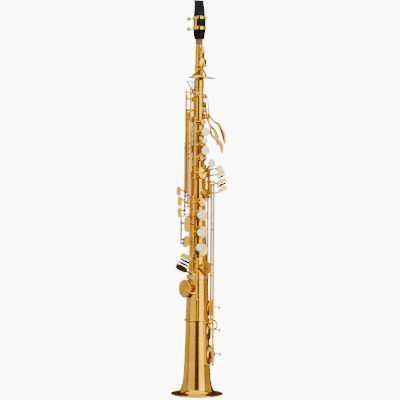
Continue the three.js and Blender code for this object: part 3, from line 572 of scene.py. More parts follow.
def joint_ring():
    band = turned(eased([(18.75, 208.0), (18.75, 203.7), (19.1, 203.5), (20.0, 203.5),
                         (20.2, 203.9), (20.2, 205.2),
                         (19.8, 205.5), (19.8, 208.3), (20.2, 208.6), (20.2, 210), (20.0, 210.5),
                         (17.1, 210.5),
                         (17.0, 208.3)], 0.2, 2, True), 96, closed=True)
    lug = swept([(-3, 19.4, 207), (-3, 23, 207)], (3.6, 2.7), sides=24, power=4)
    screw_body = straight((-8.4, 21.4, 207), (2.4, 21.4, 207), 1.1)
    head = along_axis(slotted_head(2.3, 1.8), (2.2, 21.4, 207), (1, 0, 0))
    return merged(band, lug, screw_body, head)


def slotted_head(radius, height):
    """A round screw head about +Z with a slot across its face."""
    disc = turned(eased([(0, 0), (radius, 0), (radius, height * 0.75), (radius * 0.86, height),
                         (radius * 0.3, height), (0, height)], 0.2, 2), 28)
    points, faces = disc
    in_slot = (np.abs(points[:, 0]) < radius * 0.2) & (points[:, 2] > height * 0.9)
    points[in_slot, 2] -= height * 0.3
    return points, faces


VENT_Z = 608
NECK_AXLE = (-13.6, 577, -2.6, 8.6)          # y, z and the two ends in x


def neck_tube():
    foot = 541.4
    outer = [(tube_radius(foot), foot), (tube_radius(614), 614), (6.4, 615), (5.2, 615.1),
             (5.2, 641),
             (4.3, 641), (4.3, 613), (tube_radius(foot) - WALL, foot)]
    tube = turned(finely(outer, 3), 72, closed=True)
    pip = along_axis(turned(eased([(0.8, 3.5), (2.4, 3.5), (1.9, 5), (1.7, 8.6), (1.4, 8.9),
                                   (0.8, 8.9)], 0.3, 2, True),
                            28, closed=True), (0, 0, 0), outward(35))
    pip = (pip[0] + np.array([0, 0, VENT_Z]), pip[1])
    return merged(tube, pip)


def neck_saddle():
    """The two posts that hold the neck key's axle."""
    parts = []
    y, z, x0, x1 = NECK_AXLE
    for head_x in (x0 - 3, x1 + 3):
        side = math.copysign(1, head_x - 3)
        parts.append(swept([(side * 2, -7, z - 2), (head_x * 0.9, y + 4.6, z - 1), (head_x, y, z)],
                           [(2.2, 1.3), (1.5, 1.4), (1.6, 1.6)], sides=16))
        parts.append(ball((head_x, y, z), 2.2, 24))
        parts.append(along_axis(slotted_head(1.5, 1.2), (head_x + side * 1.6, y, z), (side, 0, 0)))
    return merged(*parts)


def neck_cork():
    profile = [(5.5, 615.3), (6.1, 615.4), (6.7, 616.2), (6.7, 639.0), (6.4, 639.8), (5.5, 640)]
    return turned(finely(eased(profile, 0.4, 3), 2), 64, closed=True)


def build_tube():
    base = "tube_assembly"
    piece("body_tube", main_tube(), GOLD, base, ["main_tube"])
    upper = [name for name in HOLES if HOLES[name][1] > TUBE_FOOT[0]]
    piece("drawn_tone_holes", merged(*map(chimney, upper)), GOLD, base)
    piece("bell_flare", bell_section(), GOLD, base, ["bell_section"])
    lower = [name for name in HOLES if HOLES[name][1] < TUBE_FOOT[0]]
    piece("bell_tone_holes", merged(*map(chimney, lower)), GOLD, base)
    piece("joint_ring", joint_ring(), PALE_GOLD, base, ["body_joint_ring"])
    piece("neck_body", neck_tube(), GOLD, base, ["neck_tube"])
    piece("neck_axle_posts", neck_saddle(), RICH_GOLD, base)
    piece("cork_sleeve", neck_cork(), CORK, base, ["neck_cork"])


build_tube()


# ------------------------------------------------------------------ mouthpiece, reed, ligature
REED_SIDE = -165
TABLE_DISTANCE = 7.4
REED_WIDTH = 9.8
MOUTHPIECE_TIP = 695
BEAK_SLOPE = [(667, 10.8), (669.5, 8.0), (677, 3.0), (685.5, -1.5), (695.5, -6.2)]


def mouthpiece_body():
    """The turned outside, with the flat table on the reed side and the sloping beak opposite."""
    outside = [(9.2, 625), (9.4, 628), (10.2, 631), (10.9, 641), (10.9, 652), (10.4, 666),
               (9.5, 680), (8.8, 695)]
    profile = [(7.0, 625), (9.0, 625)] + finely(eased(outside, 1.0, 4), 0.9)
    sides = 128
    table_side, beak_side = outward(REED_SIDE), outward(REED_SIDE + 180)
    points, faces = turned(profile + [(0, MOUTHPIECE_TIP)], sides)
    heights, limits = zip(*BEAK_SLOPE)
    for point in points:
        reach = float(np.dot(point, table_side))
        if point[2] > 637 and reach > TABLE_DISTANCE:
            point -= table_side * (reach - TABLE_DISTANCE)
        if point[2] > heights[0]:
            behind = float(np.dot(point, beak_side))
            limit = float(np.interp(point[2], heights, limits))
            if behind > limit:
                point -= beak_side * (behind - limit)
    bore = turned([(7.0, 625), (7.0, 646), (4.6, 649), (4.4, 660), (0, 661)], sides)
    return merged((points, faces), (bore[0], [tuple(reversed(face)) for face in bore[1]]))


def skinned(rows):
    """A closed skin through rings with the same number of points each."""
    sides = len(rows[0])
    points = np.array(rows, float).reshape(-1, 3)
    faces = []
    for row in range(len(rows) - 1):
        for i in range(sides):
            j, low, high = (i + 1) % sides, row * sides, (row + 1) * sides
            faces.append((low + i, low + j, high + j, high + i))
    faces.append(tuple(range(sides))[::-1])
    faces.append(tuple(range((len(rows) - 1) * sides, len(rows) * sides)))
    return outwards(points, faces)


def reed_body():
    """A cane slip: flat against the table, round-backed at the stock, shaved to a thin tip."""
    foot, top, stock, thick = 638.6, 694.4, 666, 2.1
    rows = []
    count, across = 40, 15
    for i in range(count + 1):
        z = foot + (top - foot) * i / count
        share = max(0.0, (z - stock) / (top - stock))
        thickness = (thick - 0.3) * (1 - share) ** 1.25 + 0.3
        corner = max(0.0, (z - top + 3) / 3)
        half = REED_WIDTH / 2 - 1.6 * corner ** 2.5
        steps = [-1 + 2 * j / (across - 1) for j in range(across)]
        back = [place(REED_SIDE, TABLE_DISTANCE + GAP + thickness * (1 - 0.35 * abs(t) ** 2.4),
                      half * t, z)
                for t in steps]
        flat = [place(REED_SIDE, TABLE_DISTANCE + GAP, half * t, z) for t in reversed(steps)]
        rows.append(back + flat)
    return skinned(rows)


LIGATURE_R = 11.4
LIGATURE_LUG = 14.2
LIGATURE_BANDS = [(641, 646.5), (659.5, 664.5)]


def on_screw(band, along):
    return place(REED_SIDE, LIGATURE_LUG, along, sum(band) / 2)


def ligature_body():
    r = LIGATURE_R
    parts = []
    for z0, z1 in LIGATURE_BANDS:
        profile = [(r, z0 + 0.4), (r + 0.2, z0), (r + 0.65, z0), (r + 0.8, z0 + 0.4),
                   (r + 0.8, z1 - 0.4),
                   (r + 0.65, z1), (r + 0.2, z1), (r, z1 - 0.4)]
        parts.append(turned(eased(profile, 0.2, 2, True), 96, closed=True))
        for side in (-1, 1):
            head = on_screw((z0, z1), side * 1.2)
            foot = head - outward(REED_SIDE) * 2.6
            parts.append(swept([foot, head + outward(REED_SIDE) * 0.6], (2.3, 0.5),
                               up=around(REED_SIDE), sides=20,
                               power=3.5))
            parts.append(ball(head, 1.5, 20))
    for angle in (-32, 118):
        for z0, z1 in LIGATURE_BANDS:
            gusset = [place(angle, r + 0.5, 0, z0 + 0.4), place(angle, r + 0.5, 0, z1 - 0.4)]
            parts.append(swept(gusset, (3.6, 0.42), up=outward(angle), sides=24, power=4))
        parts.append(swept([place(angle, r + 0.5, 0, 644), place(angle, r + 0.5, 0, 662)],
                           (2.0, 0.42),
                           up=outward(angle), sides=24, power=4))
    return merged(*parts)


def ligature_screw(band):
    """A thumb screw: shaft, collar and a knurled head."""
    axis = around(REED_SIDE)
    shaft = straight(on_screw(band, -1.6), on_screw(band, 13.5), 0.95, 20)
    collar = straight(on_screw(band, 2.6), on_screw(band, 4.2), 1.6, 28)
    neck = along_axis(turned(eased([(0, 0), (1.1, 0), (1.3, 2), (2.4, 3.4), (0, 3.4)], 0.6, 3), 28),
                      on_screw(band, 9.6), axis)
    grooves = 26

    def knurled(a):
        depth = 1 - 0.035 * (0.5 - 0.5 * math.cos(grooves * a))
        return math.cos(a) * depth, math.sin(a) * depth

    head = turned(eased([(0, 0), (2.8, 0), (3.6, 0.7), (3.9, 1.8), (3.9, 4.4), (3.5, 5.4),
                         (2.4, 6.0), (1.2, 5.8),
                         (0, 5.7)], 0.4, 3), grooves * 8, outline=knurled)
    head = along_axis(head, on_screw(band, 12.9), axis)
    return merged(shaft, collar, neck, head)


def build_mouthpiece():
    piece("mouthpiece_turned", mouthpiece_body(), EBONITE, "mouthpiece_assembly", ["mouthpiece"])
    piece("cane_reed", reed_body(), CANE, "mouthpiece_assembly", ["reed"])
    piece("ligature_frame", ligature_body(), RICH_GOLD, "mouthpiece_assembly", ["ligature"])
    for name, band in zip(("ligature_screw_lower", "ligature_screw_upper"), LIGATURE_BANDS):
        piece(name + "_knurled", ligature_screw(band), PALE_GOLD, name, [name])


build_mouthpiece()


# ------------------------------------------------------------------ ribs and posts
POST_BALL_R = 2.6


def rib(angle, z0, z1, width=2.0):
    """A half-round strip soldered along the tube."""
    count = max(2, int((z1 - z0) / 12))
    path = [place(angle, tube_radius(z) + 1.0, 0, z) for z in np.linspace(z0, z1, count)]
    return swept(path, (width, 0.9), up=outward(angle), sides=20, per_span=2, power=3.2)


def fluted_ball(at, axis=(0, 0, 1), radius=POST_BALL_R, screw=True):
    """A post head: a ball with two flats for the hinge ends and a slotted pivot screw."""
    r = radius
    arc = [(0, -r * 0.88), (r * 0.42, -r * 0.88), (r * 0.5, -r * 0.84), (r * 0.72, -r * 0.7),
           (r * 0.92, -r * 0.4),
           (r, 0), (r * 0.92, r * 0.4), (r * 0.72, r * 0.7), (r * 0.5, r * 0.84),
           (r * 0.42, r * 0.88),
           (0, r * 0.88)]
    parts = [turned(eased(arc, 0.3, 2), 28)]
    if screw:
        head = slotted_head(r * 0.36, 0.5)
        parts.append((head[0] + np.array([0, 0, r * 0.84]), head[1]))
    return along_axis(merged(*parts), at, axis)


def stem(foot, head, radius=1.25, waypoint=None):
    """A turned post stem with a collar at its foot and a neck under the ball."""
    foot, head = np.array(foot, float), np.array(head, float)
    if waypoint is not None:
        return swept([foot, waypoint, head], [radius * 1.15, radius, radius * 0.95], sides=16)
    length = float(np.linalg.norm(head - foot))
    if length < 3.5:
        return straight(foot, head, radius)
    r = radius
    profile = [(0, 0), (r * 1.9, 0), (r * 1.9, 0.5), (r * 1.5, 0.8), (r * 1.05, 1.4),
               (r * 0.92, length * 0.5),
               (r * 1.0, length - 2.0), (0, length)]
    return along_axis(turned(eased(profile, 0.4, 2), 24), foot, head - foot)


def post(angle, hinge, z, waypoint=None, lift=1.5):
    x, y = hinge
    foot = place(angle, tube_radius(z) + lift, 0, z)
    return merged(stem(foot, (x, y, z), waypoint=waypoint), fluted_ball((x, y, z)))


def straps(angle, heights):
    """Small feet that widen a rib where posts stand on it."""
    parts = []
    for z in heights:
        centre = place(angle, tube_radius(z) + 1.3, 0, z)
        disc = turned(eased([(0, 0), (3.1, 0), (3.0, 0.6), (2.2, 0.95), (0, 0.95)], 0.2, 2), 32)
        parts.append(facing(disc, angle, centre))
    return parts


def steel_rod(hinge, z0, z1):
    return straight((*hinge, z0), (*hinge, z1), 0.9, 20)


STACK_RIB = -40
UPPER_POSTS = [483.5, 446.8, 402, 379.5]
LOWER_POSTS = [346.5, 301, 271, 243]
LEFT_RIB = -88
LEFT_POSTS = [("side_e", 531.6), ("side_c", 499.5), ("high_f_sharp", 535.6), ("side_bb", 441.5),
              ("side_e", 349.5), ("side_c", 330.5), ("high_f_sharp", 308.5), ("side_bb", 317),
              ("f_sharp_trill", 313.5), ("f_sharp_trill", 266)]
RIGHT_RIB = 92
LITTLE_FINGER_RIB = -4.6


def stack_frame(hinge, z0, z1, heights):
    return merged(rib(STACK_RIB, z0, z1), *[post(STACK_RIB, HINGES[hinge], z) for z in heights],
                  *straps(STACK_RIB, heights))


def left_frame():
    posts = [post(LEFT_RIB, HINGES[name], z) for name, z in LEFT_POSTS]
    return merged(rib(LEFT_RIB, 262, 538.3), *posts, *straps(LEFT_RIB, [z for _, z in LEFT_POSTS]))


def right_frame():
    low_b, low_bb = HINGES["low_b"], HINGES["low_bb"]
    bridge = stem((*low_b, 374), (*low_bb, 374), 1.2)
    return merged(rib(RIGHT_RIB, 340, 404), post(RIGHT_RIB, HINGES["g_sharp"], 347.5),
                  post(RIGHT_RIB, HINGES["g_sharp"], 401),
                  post(RIGHT_RIB, HINGES["low_c_sharp"], 391.5),
                  post(RIGHT_RIB, low_b, 374, (21, -6, 374)), bridge, fluted_ball((*low_bb, 374)),
                  *straps(RIGHT_RIB, (347.5, 401, 391.5, 374)))


BAND_Z = (129, 133)


def bell_frame():
    z0, z1 = BAND_Z
    inner = tube_radius(z0) + GAP
    outer = inner + 2.2
    band = turned(eased([(inner, z0), (outer - 0.8, z0), (outer - 0.3, z0 + 0.6),
                         (outer, (z0 + z1) / 2),
                         (outer - 0.3, z1 - 0.6), (outer - 0.8, z1), (inner, z1)], 0.3, 2, True),
                  112, closed=True)
    return merged(band, rib(38, 52, z1), rib(LITTLE_FINGER_RIB, z0, 172),
                  post(38, HINGES["low_b"], 127.4), post(38, HINGES["low_bb"], 55),
                  post(LITTLE_FINGER_RIB, HINGES["little_finger"], 168),
                  post(137, HINGES["low_c_sharp"], sum(BAND_Z) / 2), *straps(38, (127.4, 55)),
                  *straps(LITTLE_FINGER_RIB, (168,)))


def little_finger_frame():
    return merged(rib(LITTLE_FINGER_RIB, 214, 241),
                  *[post(LITTLE_FINGER_RIB, HINGES["little_finger"], z) for z in (238, 218)],
                  *straps(LITTLE_FINGER_RIB, (238, 218)))


def build_frame():
    base = "tube_assembly"
    piece("upper_stack_posts", stack_frame("upper_stack", 376, 487, UPPER_POSTS), RICH_GOLD, base,
          ["upper_stack_rib"])
    piece("lower_stack_posts", stack_frame("lower_stack", 239, 350, LOWER_POSTS), RICH_GOLD, base,
          ["lower_stack_rib"])
    piece("upper_rod", steel_rod(HINGES["upper_stack"], 376, 487), STEEL, base,
          ["upper_stack_rod"])
    piece("lower_rod", steel_rod(HINGES["lower_stack"], 239.5, 350), STEEL, base,
          ["lower_stack_rod"])
    piece("left_posts", left_frame(), RICH_GOLD, base, ["left_side_rib"])
    piece("right_posts", right_frame(), RICH_GOLD, base, ["right_side_rib"])
    piece("bell_band_posts", bell_frame(), RICH_GOLD, base, ["bell_posts"])
    piece("little_finger_posts", little_finger_frame(), RICH_GOLD, base, ["little_finger_rib"])


build_frame()


# ------------------------------------------------------------------ keys
STACK_REST, LOW_C_REST, LOW_REST = -6, 11, -5


def cup_and_pad(name):
    """The domed cup and the leather pad in it, drawn closed on their tone hole."""
    angle, z, _, cup = HOLES[name]
    lift = min(1.0, cup / 12)
    shell = [(0, 1.0), (cup - 0.6, 1.0), (cup - 0.5, 0.55), (cup, 0.5), (cup, 1.9),
             (cup - 0.3, 2.35),
             (cup - 1.0, 2.6), (cup * 0.8, 2.75), (cup * 0.74, 3.0), (cup * 0.45, 3.0 + 0.4 * lift),
             (0, 3.0 + 0.55 * lift)]
    pad = [(0, 0), (cup * 0.5, 0), (cup - 1.6, 0), (cup - 0.8, 0.25), (cup - 0.65, 0.7),
           (cup - 0.8, 1.2), (0, 1.2)]
    at = place(angle, edge_of(name) + GAP, 0, z)
    sides = 72 if cup > 9 else 48
    return facing(turned(eased(shell, 0.25, 3), sides), angle,
                  at), facing(turned(eased(pad, 0.3, 3), sides), angle, at)


def hinge_tube(hinge, z0, z1, rings=()):
    """A hinge tube with a raised collar at each end and wherever an arm meets it."""
    r = HINGE_R
    profile = [(0.95, z0), (r + 0.3, z0), (r + 0.3, z0 + 1.0), (r, z0 + 1.2)]
    for z in sorted(rings):
        if z0 + 3 < z < z1 - 3:
            profile += [(r, z - 1.7), (r + 0.35, z - 1.4), (r + 0.35, z + 1.4), (r, z + 1.7)]
    profile += [(r, z1 - 1.2), (r + 0.3, z1 - 1.0), (r + 0.3, z1), (0.95, z1)]
    tube = turned(eased(profile, 0.15, 2, True), 32, closed=True)
    return tube[0] + np.array([*hinge, 0]), tube[1]


def seen_from(angle, hinge):
    point = np.array([*hinge, 0], float)
    return float(np.dot(point, around(angle))), float(np.dot(point, outward(angle)))


def cup_arm(name, hinge, arm_z=None):
    """The arm from a hinge over a cup's rim to its middle, tapering and flattening out."""
    angle, z, _, cup = HOLES[name]
    arm_z = z if arm_z is None else arm_z
    sideways, distance = seen_from(angle, hinge)
    top = edge_of(name) + GAP + CUP_HEIGHT
    side = math.copysign(1, sideways)
    path = [(*hinge, arm_z), place(angle, max(top - 1.5, distance), (cup + 2) * side, arm_z),
            place(angle, top + 0.6, cup * 0.55 * side, arm_z + (z - arm_z) * 0.6),
            place(angle, top - 0.1, 0, z)]
    bar = swept(path, [(2.1, 1.5), (1.7, 1.5), (1.7, 1.1), (2.2, 0.7)], up=outward(angle),
                sides=20, power=2.6)
    boss = facing(turned(eased([(0, -0.6), (min(3.0, cup * 0.5), -0.6),
                                (min(2.8, cup * 0.46), 0.2), (1.7, 0.8),
                                (0, 0.9)], 0.3, 3), 32), angle, place(angle, top, 0, z))
    return merged(bar, boss)


def pearl_touch(at, angle, radius):
    """A gold seat with a raised lip, and the pearl disc set in it."""
    outer = radius + 0.9
    seat = [(0, 0), (outer * 0.55, 0), (outer * 0.9, 0.4), (outer, 0.9), (outer, 2.3),
            (outer - 0.25, 2.6),
            (radius + 0.1, 2.6), (radius + 0.05, 2.3), (radius + 0.05, 1.7), (0, 1.7)]
    disc = [(0, 1.9), (radius - 0.1, 1.9), (radius - 0.05, 2.4), (radius - 0.5, 2.75),
            (radius * 0.75, 2.75),
            (radius * 0.4, 2.6), (0, 2.55)]
    return (facing(turned(eased(seat, 0.15, 3), 64), angle, at),
            facing(turned(eased(disc, 0.2, 3), 64), angle, at))


def touch_plate(at, angle, width, height, thickness=2.0, tilt=0, power=2.0, dish=0.25):
    """An oval touch with a rounded edge and a slightly hollow face."""
    sides, rows = 64, []
    outline = []
    for i in range(sides):
        a = 2 * math.pi * i / sides
        outline.append((math.copysign(abs(math.cos(a)) ** (2 / power), math.cos(a)) * width / 2,
                        math.copysign(abs(math.sin(a)) ** (2 / power), math.sin(a)) * height / 2))
    half = thickness / 2
    steps = [(0.5, -half), (0.86, -half), (0.96, -half * 0.7), (1.0, -half * 0.1),
             (1.0, half * 0.3),
             (0.975, half * 0.75), (0.93, half), (0.84, half - dish * 0.3), (0.5, half - dish),
             (0.2, half - dish * 1.05)]
    for scale, height_now in steps:
        rows.append([(x * scale, y * scale, height_now) for x, y in outline])
    return facing(skinned(rows), angle, at, tilt)


def key(name, body, hinge, rest, metal_parts, pads=(), pearls=(), extra_nodes=()):
    """Turns a key's parts from the closed pose to its rest pose and hands them over."""
    turn = (lambda shape: turned_about(shape, hinge, rest)) if rest else (lambda shape: shape)
    piece(name, turn(merged(*metal_parts)), RICH_GOLD, body, [body, *extra_nodes])
    if pads:
        piece(name + "_pad", turn(merged(*pads)), LEATHER, body)
    if pearls:
        piece(name + "_pearl", turn(merged(*pearls)), PEARL, body, [body + "_pearl"])


def stack_key(hole, hinge_name, z0, z1, pearl_at=None, pearl_angle=0, pearl_r=0):
    hinge = HINGES[hinge_name]
    angle, z, _, _ = HOLES[hole]
    cup, pad = cup_and_pad(hole)
    parts = [hinge_tube(hinge, z0, z1, (z,)), cup, cup_arm(hole, hinge)]
    pearls = []
    body = f"{hole}_key" if pearl_at else f"small_{hole}_cup_key"
    if pearl_at:
        top = edge_of(hole) + GAP + CUP_HEIGHT
        seat, disc = pearl_touch(pearl_at, pearl_angle, pearl_r)
        foot = place(angle, top - 0.4, 0, z)
        head = np.array(pearl_at) + outward(pearl_angle) * 0.4
        middle = (foot + head) / 2 + outward(angle) * 0.8
        parts += [seat, swept([foot, middle, head], [(2.2, 1.0), (1.7, 1.0), (2.6, 0.8)],
                              up=outward(angle),
                              sides=16, power=2.6)]
        pearls.append(disc)
    key(f"{hole}_stack_key", body, hinge, STACK_REST, parts, [pad], pearls)


SIDE_TOUCH_TURN = 0.55            # the fingertip plates face more to the front than their arms


def side_key(name, z0, z1, at, angle, width, height, arm_z=None, tilt=0):
    """A long hinge tube with a cup at its top and a fingertip plate at its foot."""
    hinge = HINGES[name]
    tube_end = arm_z or z0 + 3
    cup_z = min(HOLES[name][1] + 1, z1 - 2)
    edge = -outward(angle)
    meets = np.array(at) + edge + np.array([0, 0, height * 0.3])
    half = (np.array([*hinge, tube_end]) + meets) / 2 + np.array([0, -1.5, 0])
    cup, pad = cup_and_pad(name)
    parts = [hinge_tube(hinge, z0, z1, (cup_z, tube_end, (z0 + z1) / 2)), cup,
             cup_arm(name, hinge, cup_z),
             touch_plate(at, angle * SIDE_TOUCH_TURN, width, height, 2.0, tilt, 3.0),
             swept([(*hinge, tube_end), half, meets,
                    np.array(at) + edge * 0.8 - np.array([0, 0, height * 0.15])],
                   [(1.9, 1.5), (1.5, 1.4), (1.9, 0.9), (1.2, 0.5)], up=outward(angle), sides=16,
                   power=2.4)]
    key(name + "_side_key", name + "_key", hinge, 0, parts, [pad])


def touch_plane(origin, facing_angle, slope, lean):
    """The sloping row of little-finger touches, as in the CAD: across steps from touch to touch."""
    t, u = around(facing_angle), outward(facing_angle)
    c, s = math.cos(radians(slope)), math.sin(radians(slope))

    def at(across, along=0.0, outward_by=0.0):
        sideways = along * c + across * s * lean
        return np.array(origin) + t * sideways + u * outward_by + np.array([0, 0,
                                                                            along * s - across * c])
    return at


FINGER_FACING, FINGER_SLOPE = -14, -27
finger_plane = touch_plane((-19, -26, 242.2), FINGER_FACING, FINGER_SLOPE, 1)
TABLE_FACING, TABLE_SLOPE = 22, 26
table_plane = touch_plane((39.2, -20, 389.2), TABLE_FACING, TABLE_SLOPE, 0.25)


# Each roller's place across its plane, its half length and its radius.
EB_ROLLER, C_ROLLER = (7.4, 8.2, 2.3), (13, 8.6, 2.3)
SHORT_ROLLER, LONG_ROLLER = (6.9, 5, 1.8), (22.9, 7, 2)
C_TOUCH, B_TOUCH, BB_TOUCH = 21.4, 15.6, 31.2
PIN_R, PIN_OVERHANG = 0.5, 2.2
LUG_R, LUG_OVERHANG, LUG_REACH = 1.4, 1.9, 6.6


def roller(plane, across, half, r):
    """A resin roller, slightly barrel-shaped."""
    a, b = plane(across, -half), plane(across, half)
    profile = [(0, 0), (r * 0.82, 0), (r * 0.95, half * 0.25), (r, half), (r * 0.95, half * 1.75),
               (r * 0.82, 2 * half),
               (0, 2 * half)]
    return along_axis(turned(eased(profile, 0.4, 4), 36), a, b - a)


def roller_carrier(plane, across, half, _, plate_across):
    """The two lugs that hold a roller, on their links from the plate, with the roller's pin."""
    towards = math.copysign(1, plate_across - across)
    pin_half = half + PIN_OVERHANG
    parts = [straight(plane(across, -pin_half), plane(across, pin_half), PIN_R, 12)]
    for side in (-1, 1):
        lug = side * (half + LUG_OVERHANG)
        inner = across + towards * LUG_REACH
        parts.append(fluted_ball(plane(across, lug), plane(0, side) - plane(0, 0), LUG_R,
                                 screw=True))
        parts.append(swept([plane(across, lug), plane((across + inner) / 2, lug * 0.97, -0.2),
                            plane(inner, lug * 0.8, -0.2)], [(0.9, 0.9), (1.1, 0.8), (1.4, 0.7)],
                           up=outward(TABLE_FACING), sides=14))
    return parts


def finger_arm(points, angle):
    return swept(points, [(1.9, 1.6)] + [(1.6, 1.4)] * (len(points) - 2) + [(2.6, 0.8)],
                 up=outward(angle), sides=18,
                 power=2.5)


def build_stacks():
    stack_key("b", "upper_stack", 450, 472.5, (11.4, -18.4, 460.4), 32, 6.8)
    stack_key("bis", "upper_stack", 431.5, 443.6, (10.6, -19.2, 445.3), 32, 4.4)
    stack_key("a", "upper_stack", 405.6, 430.5, (12, -19.8, 428.3), 32, 6.8)
    stack_key("g", "upper_stack", 383.2, 398.4, (22.6, -20, 406), 45, 6.8)
    stack_key("c", "upper_stack", 473.5, 480.4)
    stack_key("f", "lower_stack", 304.2, 327.5, (5.8, -24.8, 316), 14, 6.6)
    stack_key("e", "lower_stack", 274.2, 297.8, (6, -25.4, 285.5), 14, 6.6)
    stack_key("d", "lower_stack", 246.2, 267.8, (4.4, -26.2, 259.4), 10, 6.6)
    stack_key("f_sharp", "lower_stack", 328.5, 343.2)


def build_side_keys():
    side_key("side_e", 352.5, 528.6, (-34, -9, 357), -50, 9, 16.5)
    side_key("side_c", 333.5, 496.5, (-32, -13.5, 339.5), -48, 9, 17.6)
    side_key("side_bb", 320, 438.5, (-32.4, -14, 320), -48, 8, 18, 322)
    side_key("high_f_sharp", 311.5, 532.6, (-19, -20, 299), -30, 11.5, 26.8)
    side_key("f_sharp_trill", 269, 310.5, (-20.5, -22, 269.5), -22, 12, 21, 272, -14)


def build_little_finger_keys():
    hinge = HINGES["little_finger"]
    plane, angle, slope = finger_plane, FINGER_FACING, FINGER_SLOPE
    cup, pad = cup_and_pad("eb")
    key("eb_flat_key", "eb_key", hinge, 0,
        [hinge_tube(hinge, 221.1, 235, (224, 232.6)), cup, cup_arm("eb", hinge, 224),
         touch_plate(plane(0), angle, 23, 9.2, 2, slope, 2.8),
         finger_arm([(*hinge, 232.6), (-7, -27.6, 235), plane(0, 0, -0.8)], angle),
         *roller_carrier(plane, *EB_ROLLER, 0)], [pad])
    cup, pad = cup_and_pad("low_c")
    key("low_c_open_key", "low_c_key", hinge, LOW_C_REST,
        [hinge_tube(hinge, 171, 214.9, (180, 212.4)), cup, cup_arm("low_c", hinge, 180),
         touch_plate(plane(C_TOUCH), angle, 22.6, 11, 2, slope, 2.8),
         finger_arm([(*hinge, 212.4), (-10, -26.4, 213), plane(C_TOUCH, 0, -0.8)], angle),
         *roller_carrier(plane, *C_ROLLER, C_TOUCH)], [pad])
    piece("eb_roller", roller(plane, *EB_ROLLER), ROLLER, "eb_key_roller", ["eb_key_roller"])
    piece("low_c_roller", turned_about(roller(plane, *C_ROLLER), hinge, LOW_C_REST), ROLLER,
          "low_c_key_roller",
          ["low_c_key_roller"])


def build_table():
    plane, angle, slope = table_plane, TABLE_FACING, TABLE_SLOPE
    hinge = HINGES["g_sharp"]
    cup, pad = cup_and_pad("g_sharp")
    key("g_sharp_table_key", "g_sharp_key", hinge, 0,
        [hinge_tube(hinge, 350.4, 398, (355, 394.6)), cup, cup_arm("g_sharp", hinge, 355),
         touch_plate((37, -12.8, 397.4), 30, 14, 11, 2, 20, 2.3),
         finger_arm([(*hinge, 394.6), (28, -2, 397), (37, -12.1, 397)], 30)], [pad])
    piece("g_sharp_touch_pearl", touch_plate(place(30, 0.9, 0, 0) + np.array([37, -12.8, 397.4]),
                                             30, 12, 9.4, 1.4, 20,
                                             2.2, 0.1), PEARL, "g_sharp_key")
    hinge = HINGES["low_c_sharp"]
    cup, pad = cup_and_pad("low_c_sharp")
    key("low_c_sharp_table_key", "low_c_sharp_key", hinge, 0,
        [hinge_tube(hinge, 134.2, 388.4, (152, 230, 310, 384.6)), cup,
         cup_arm("low_c_sharp", hinge, 152),
         touch_plate(plane(0), angle, 16.4, 7.6, 2, slope, 2.8),
         finger_arm([(*hinge, 384.9), (31, 9, 386.8), (40, -8, 388.4), plane(-1.4, 0, -0.8)],
                    angle),
         *roller_carrier(plane, *SHORT_ROLLER, 0)], [pad])
    hinge = HINGES["low_b"]
    cup, pad = cup_and_pad("low_b")
    cup_top = place(HOLES["low_b"][0], edge_of("low_b") + CUP_HEIGHT, 0, HOLES["low_b"][1])
    key("low_b_table_key", "low_b_key", hinge, LOW_REST,
        [hinge_tube(hinge, 130.6, 370.8, (133.8, 210, 290, 367.4)), cup,
         finger_arm([(*hinge, 133.8), (30.5, -12.5, 131), (33.6, -5, 121), cup_top],
                    HOLES["low_b"][0]),
         touch_plate(plane(B_TOUCH), angle, 18, 7.8, 2, slope, 2.8),
         finger_arm([(*hinge, 367.4), (27.5, -13.5, 370), (34, -15, 372), plane(B_TOUCH, 0, -0.8)],
                    angle),
         *roller_carrier(plane, *LONG_ROLLER, B_TOUCH)], [pad])
    hinge = HINGES["low_bb"]
    cup, pad = cup_and_pad("low_bb")
    key("low_bb_table_key", "low_bb_key", hinge, LOW_REST,
        [hinge_tube(hinge, 58.2, 370.8, (70.5, 150, 230, 300, 355)), cup,
         cup_arm("low_bb", hinge, 70.5),
         touch_plate(plane(BB_TOUCH), angle, 18, 8.4, 2, slope, 2.8),
         finger_arm([(*hinge, 355), (33, -22.4, 355), plane(BB_TOUCH, 0, -0.8)], angle)], [pad])
    piece("short_roller", roller(plane, *SHORT_ROLLER), ROLLER, "table_roller_short",
          ["table_roller_short"])
    piece("long_roller", turned_about(roller(plane, *LONG_ROLLER), HINGES["low_b"], LOW_REST),
          ROLLER,
          "table_roller_long", ["table_roller_long"])


build_stacks()
build_side_keys()
build_little_finger_keys()
build_table()


# ------------------------------------------------------------------ palm keys
PALM_DISTANCE, PALM_HALF, PALM_POST_AT = 18, 3.6, 6.4
PALM_BAND = (484.5, 494)
PALM_HINGE_Z = {"palm_d": 487, "palm_eb": 487, "palm_f": 492}
PALM_LEVERS = {
    "palm_d": [(23.4, 468), (24.2, 460), (30, 451.5), (39, 446), (45, 436), (46.6, 425)],
    "palm_f": [(27, 480.6), (35.6, 475.6), (40, 466.5), (44, 457), (46.2, 442.5)],
    "palm_eb": [(27, 474), (36, 466), (41.6, 454), (42.4, 441)],
}


def arc_band(z0, z1, inner, outer, from_angle, to_angle):
    """Part of a band round the tube, with eased edges."""
    profile = eased([(inner, z0), (outer, z0), (outer, z1), (inner, z1)], 0.4, 3, True)
    rows = []
    for angle in np.linspace(from_angle, to_angle, 40):
        rows.append([place(angle, r, 0, z) for r, z in profile])
    return skinned(rows)


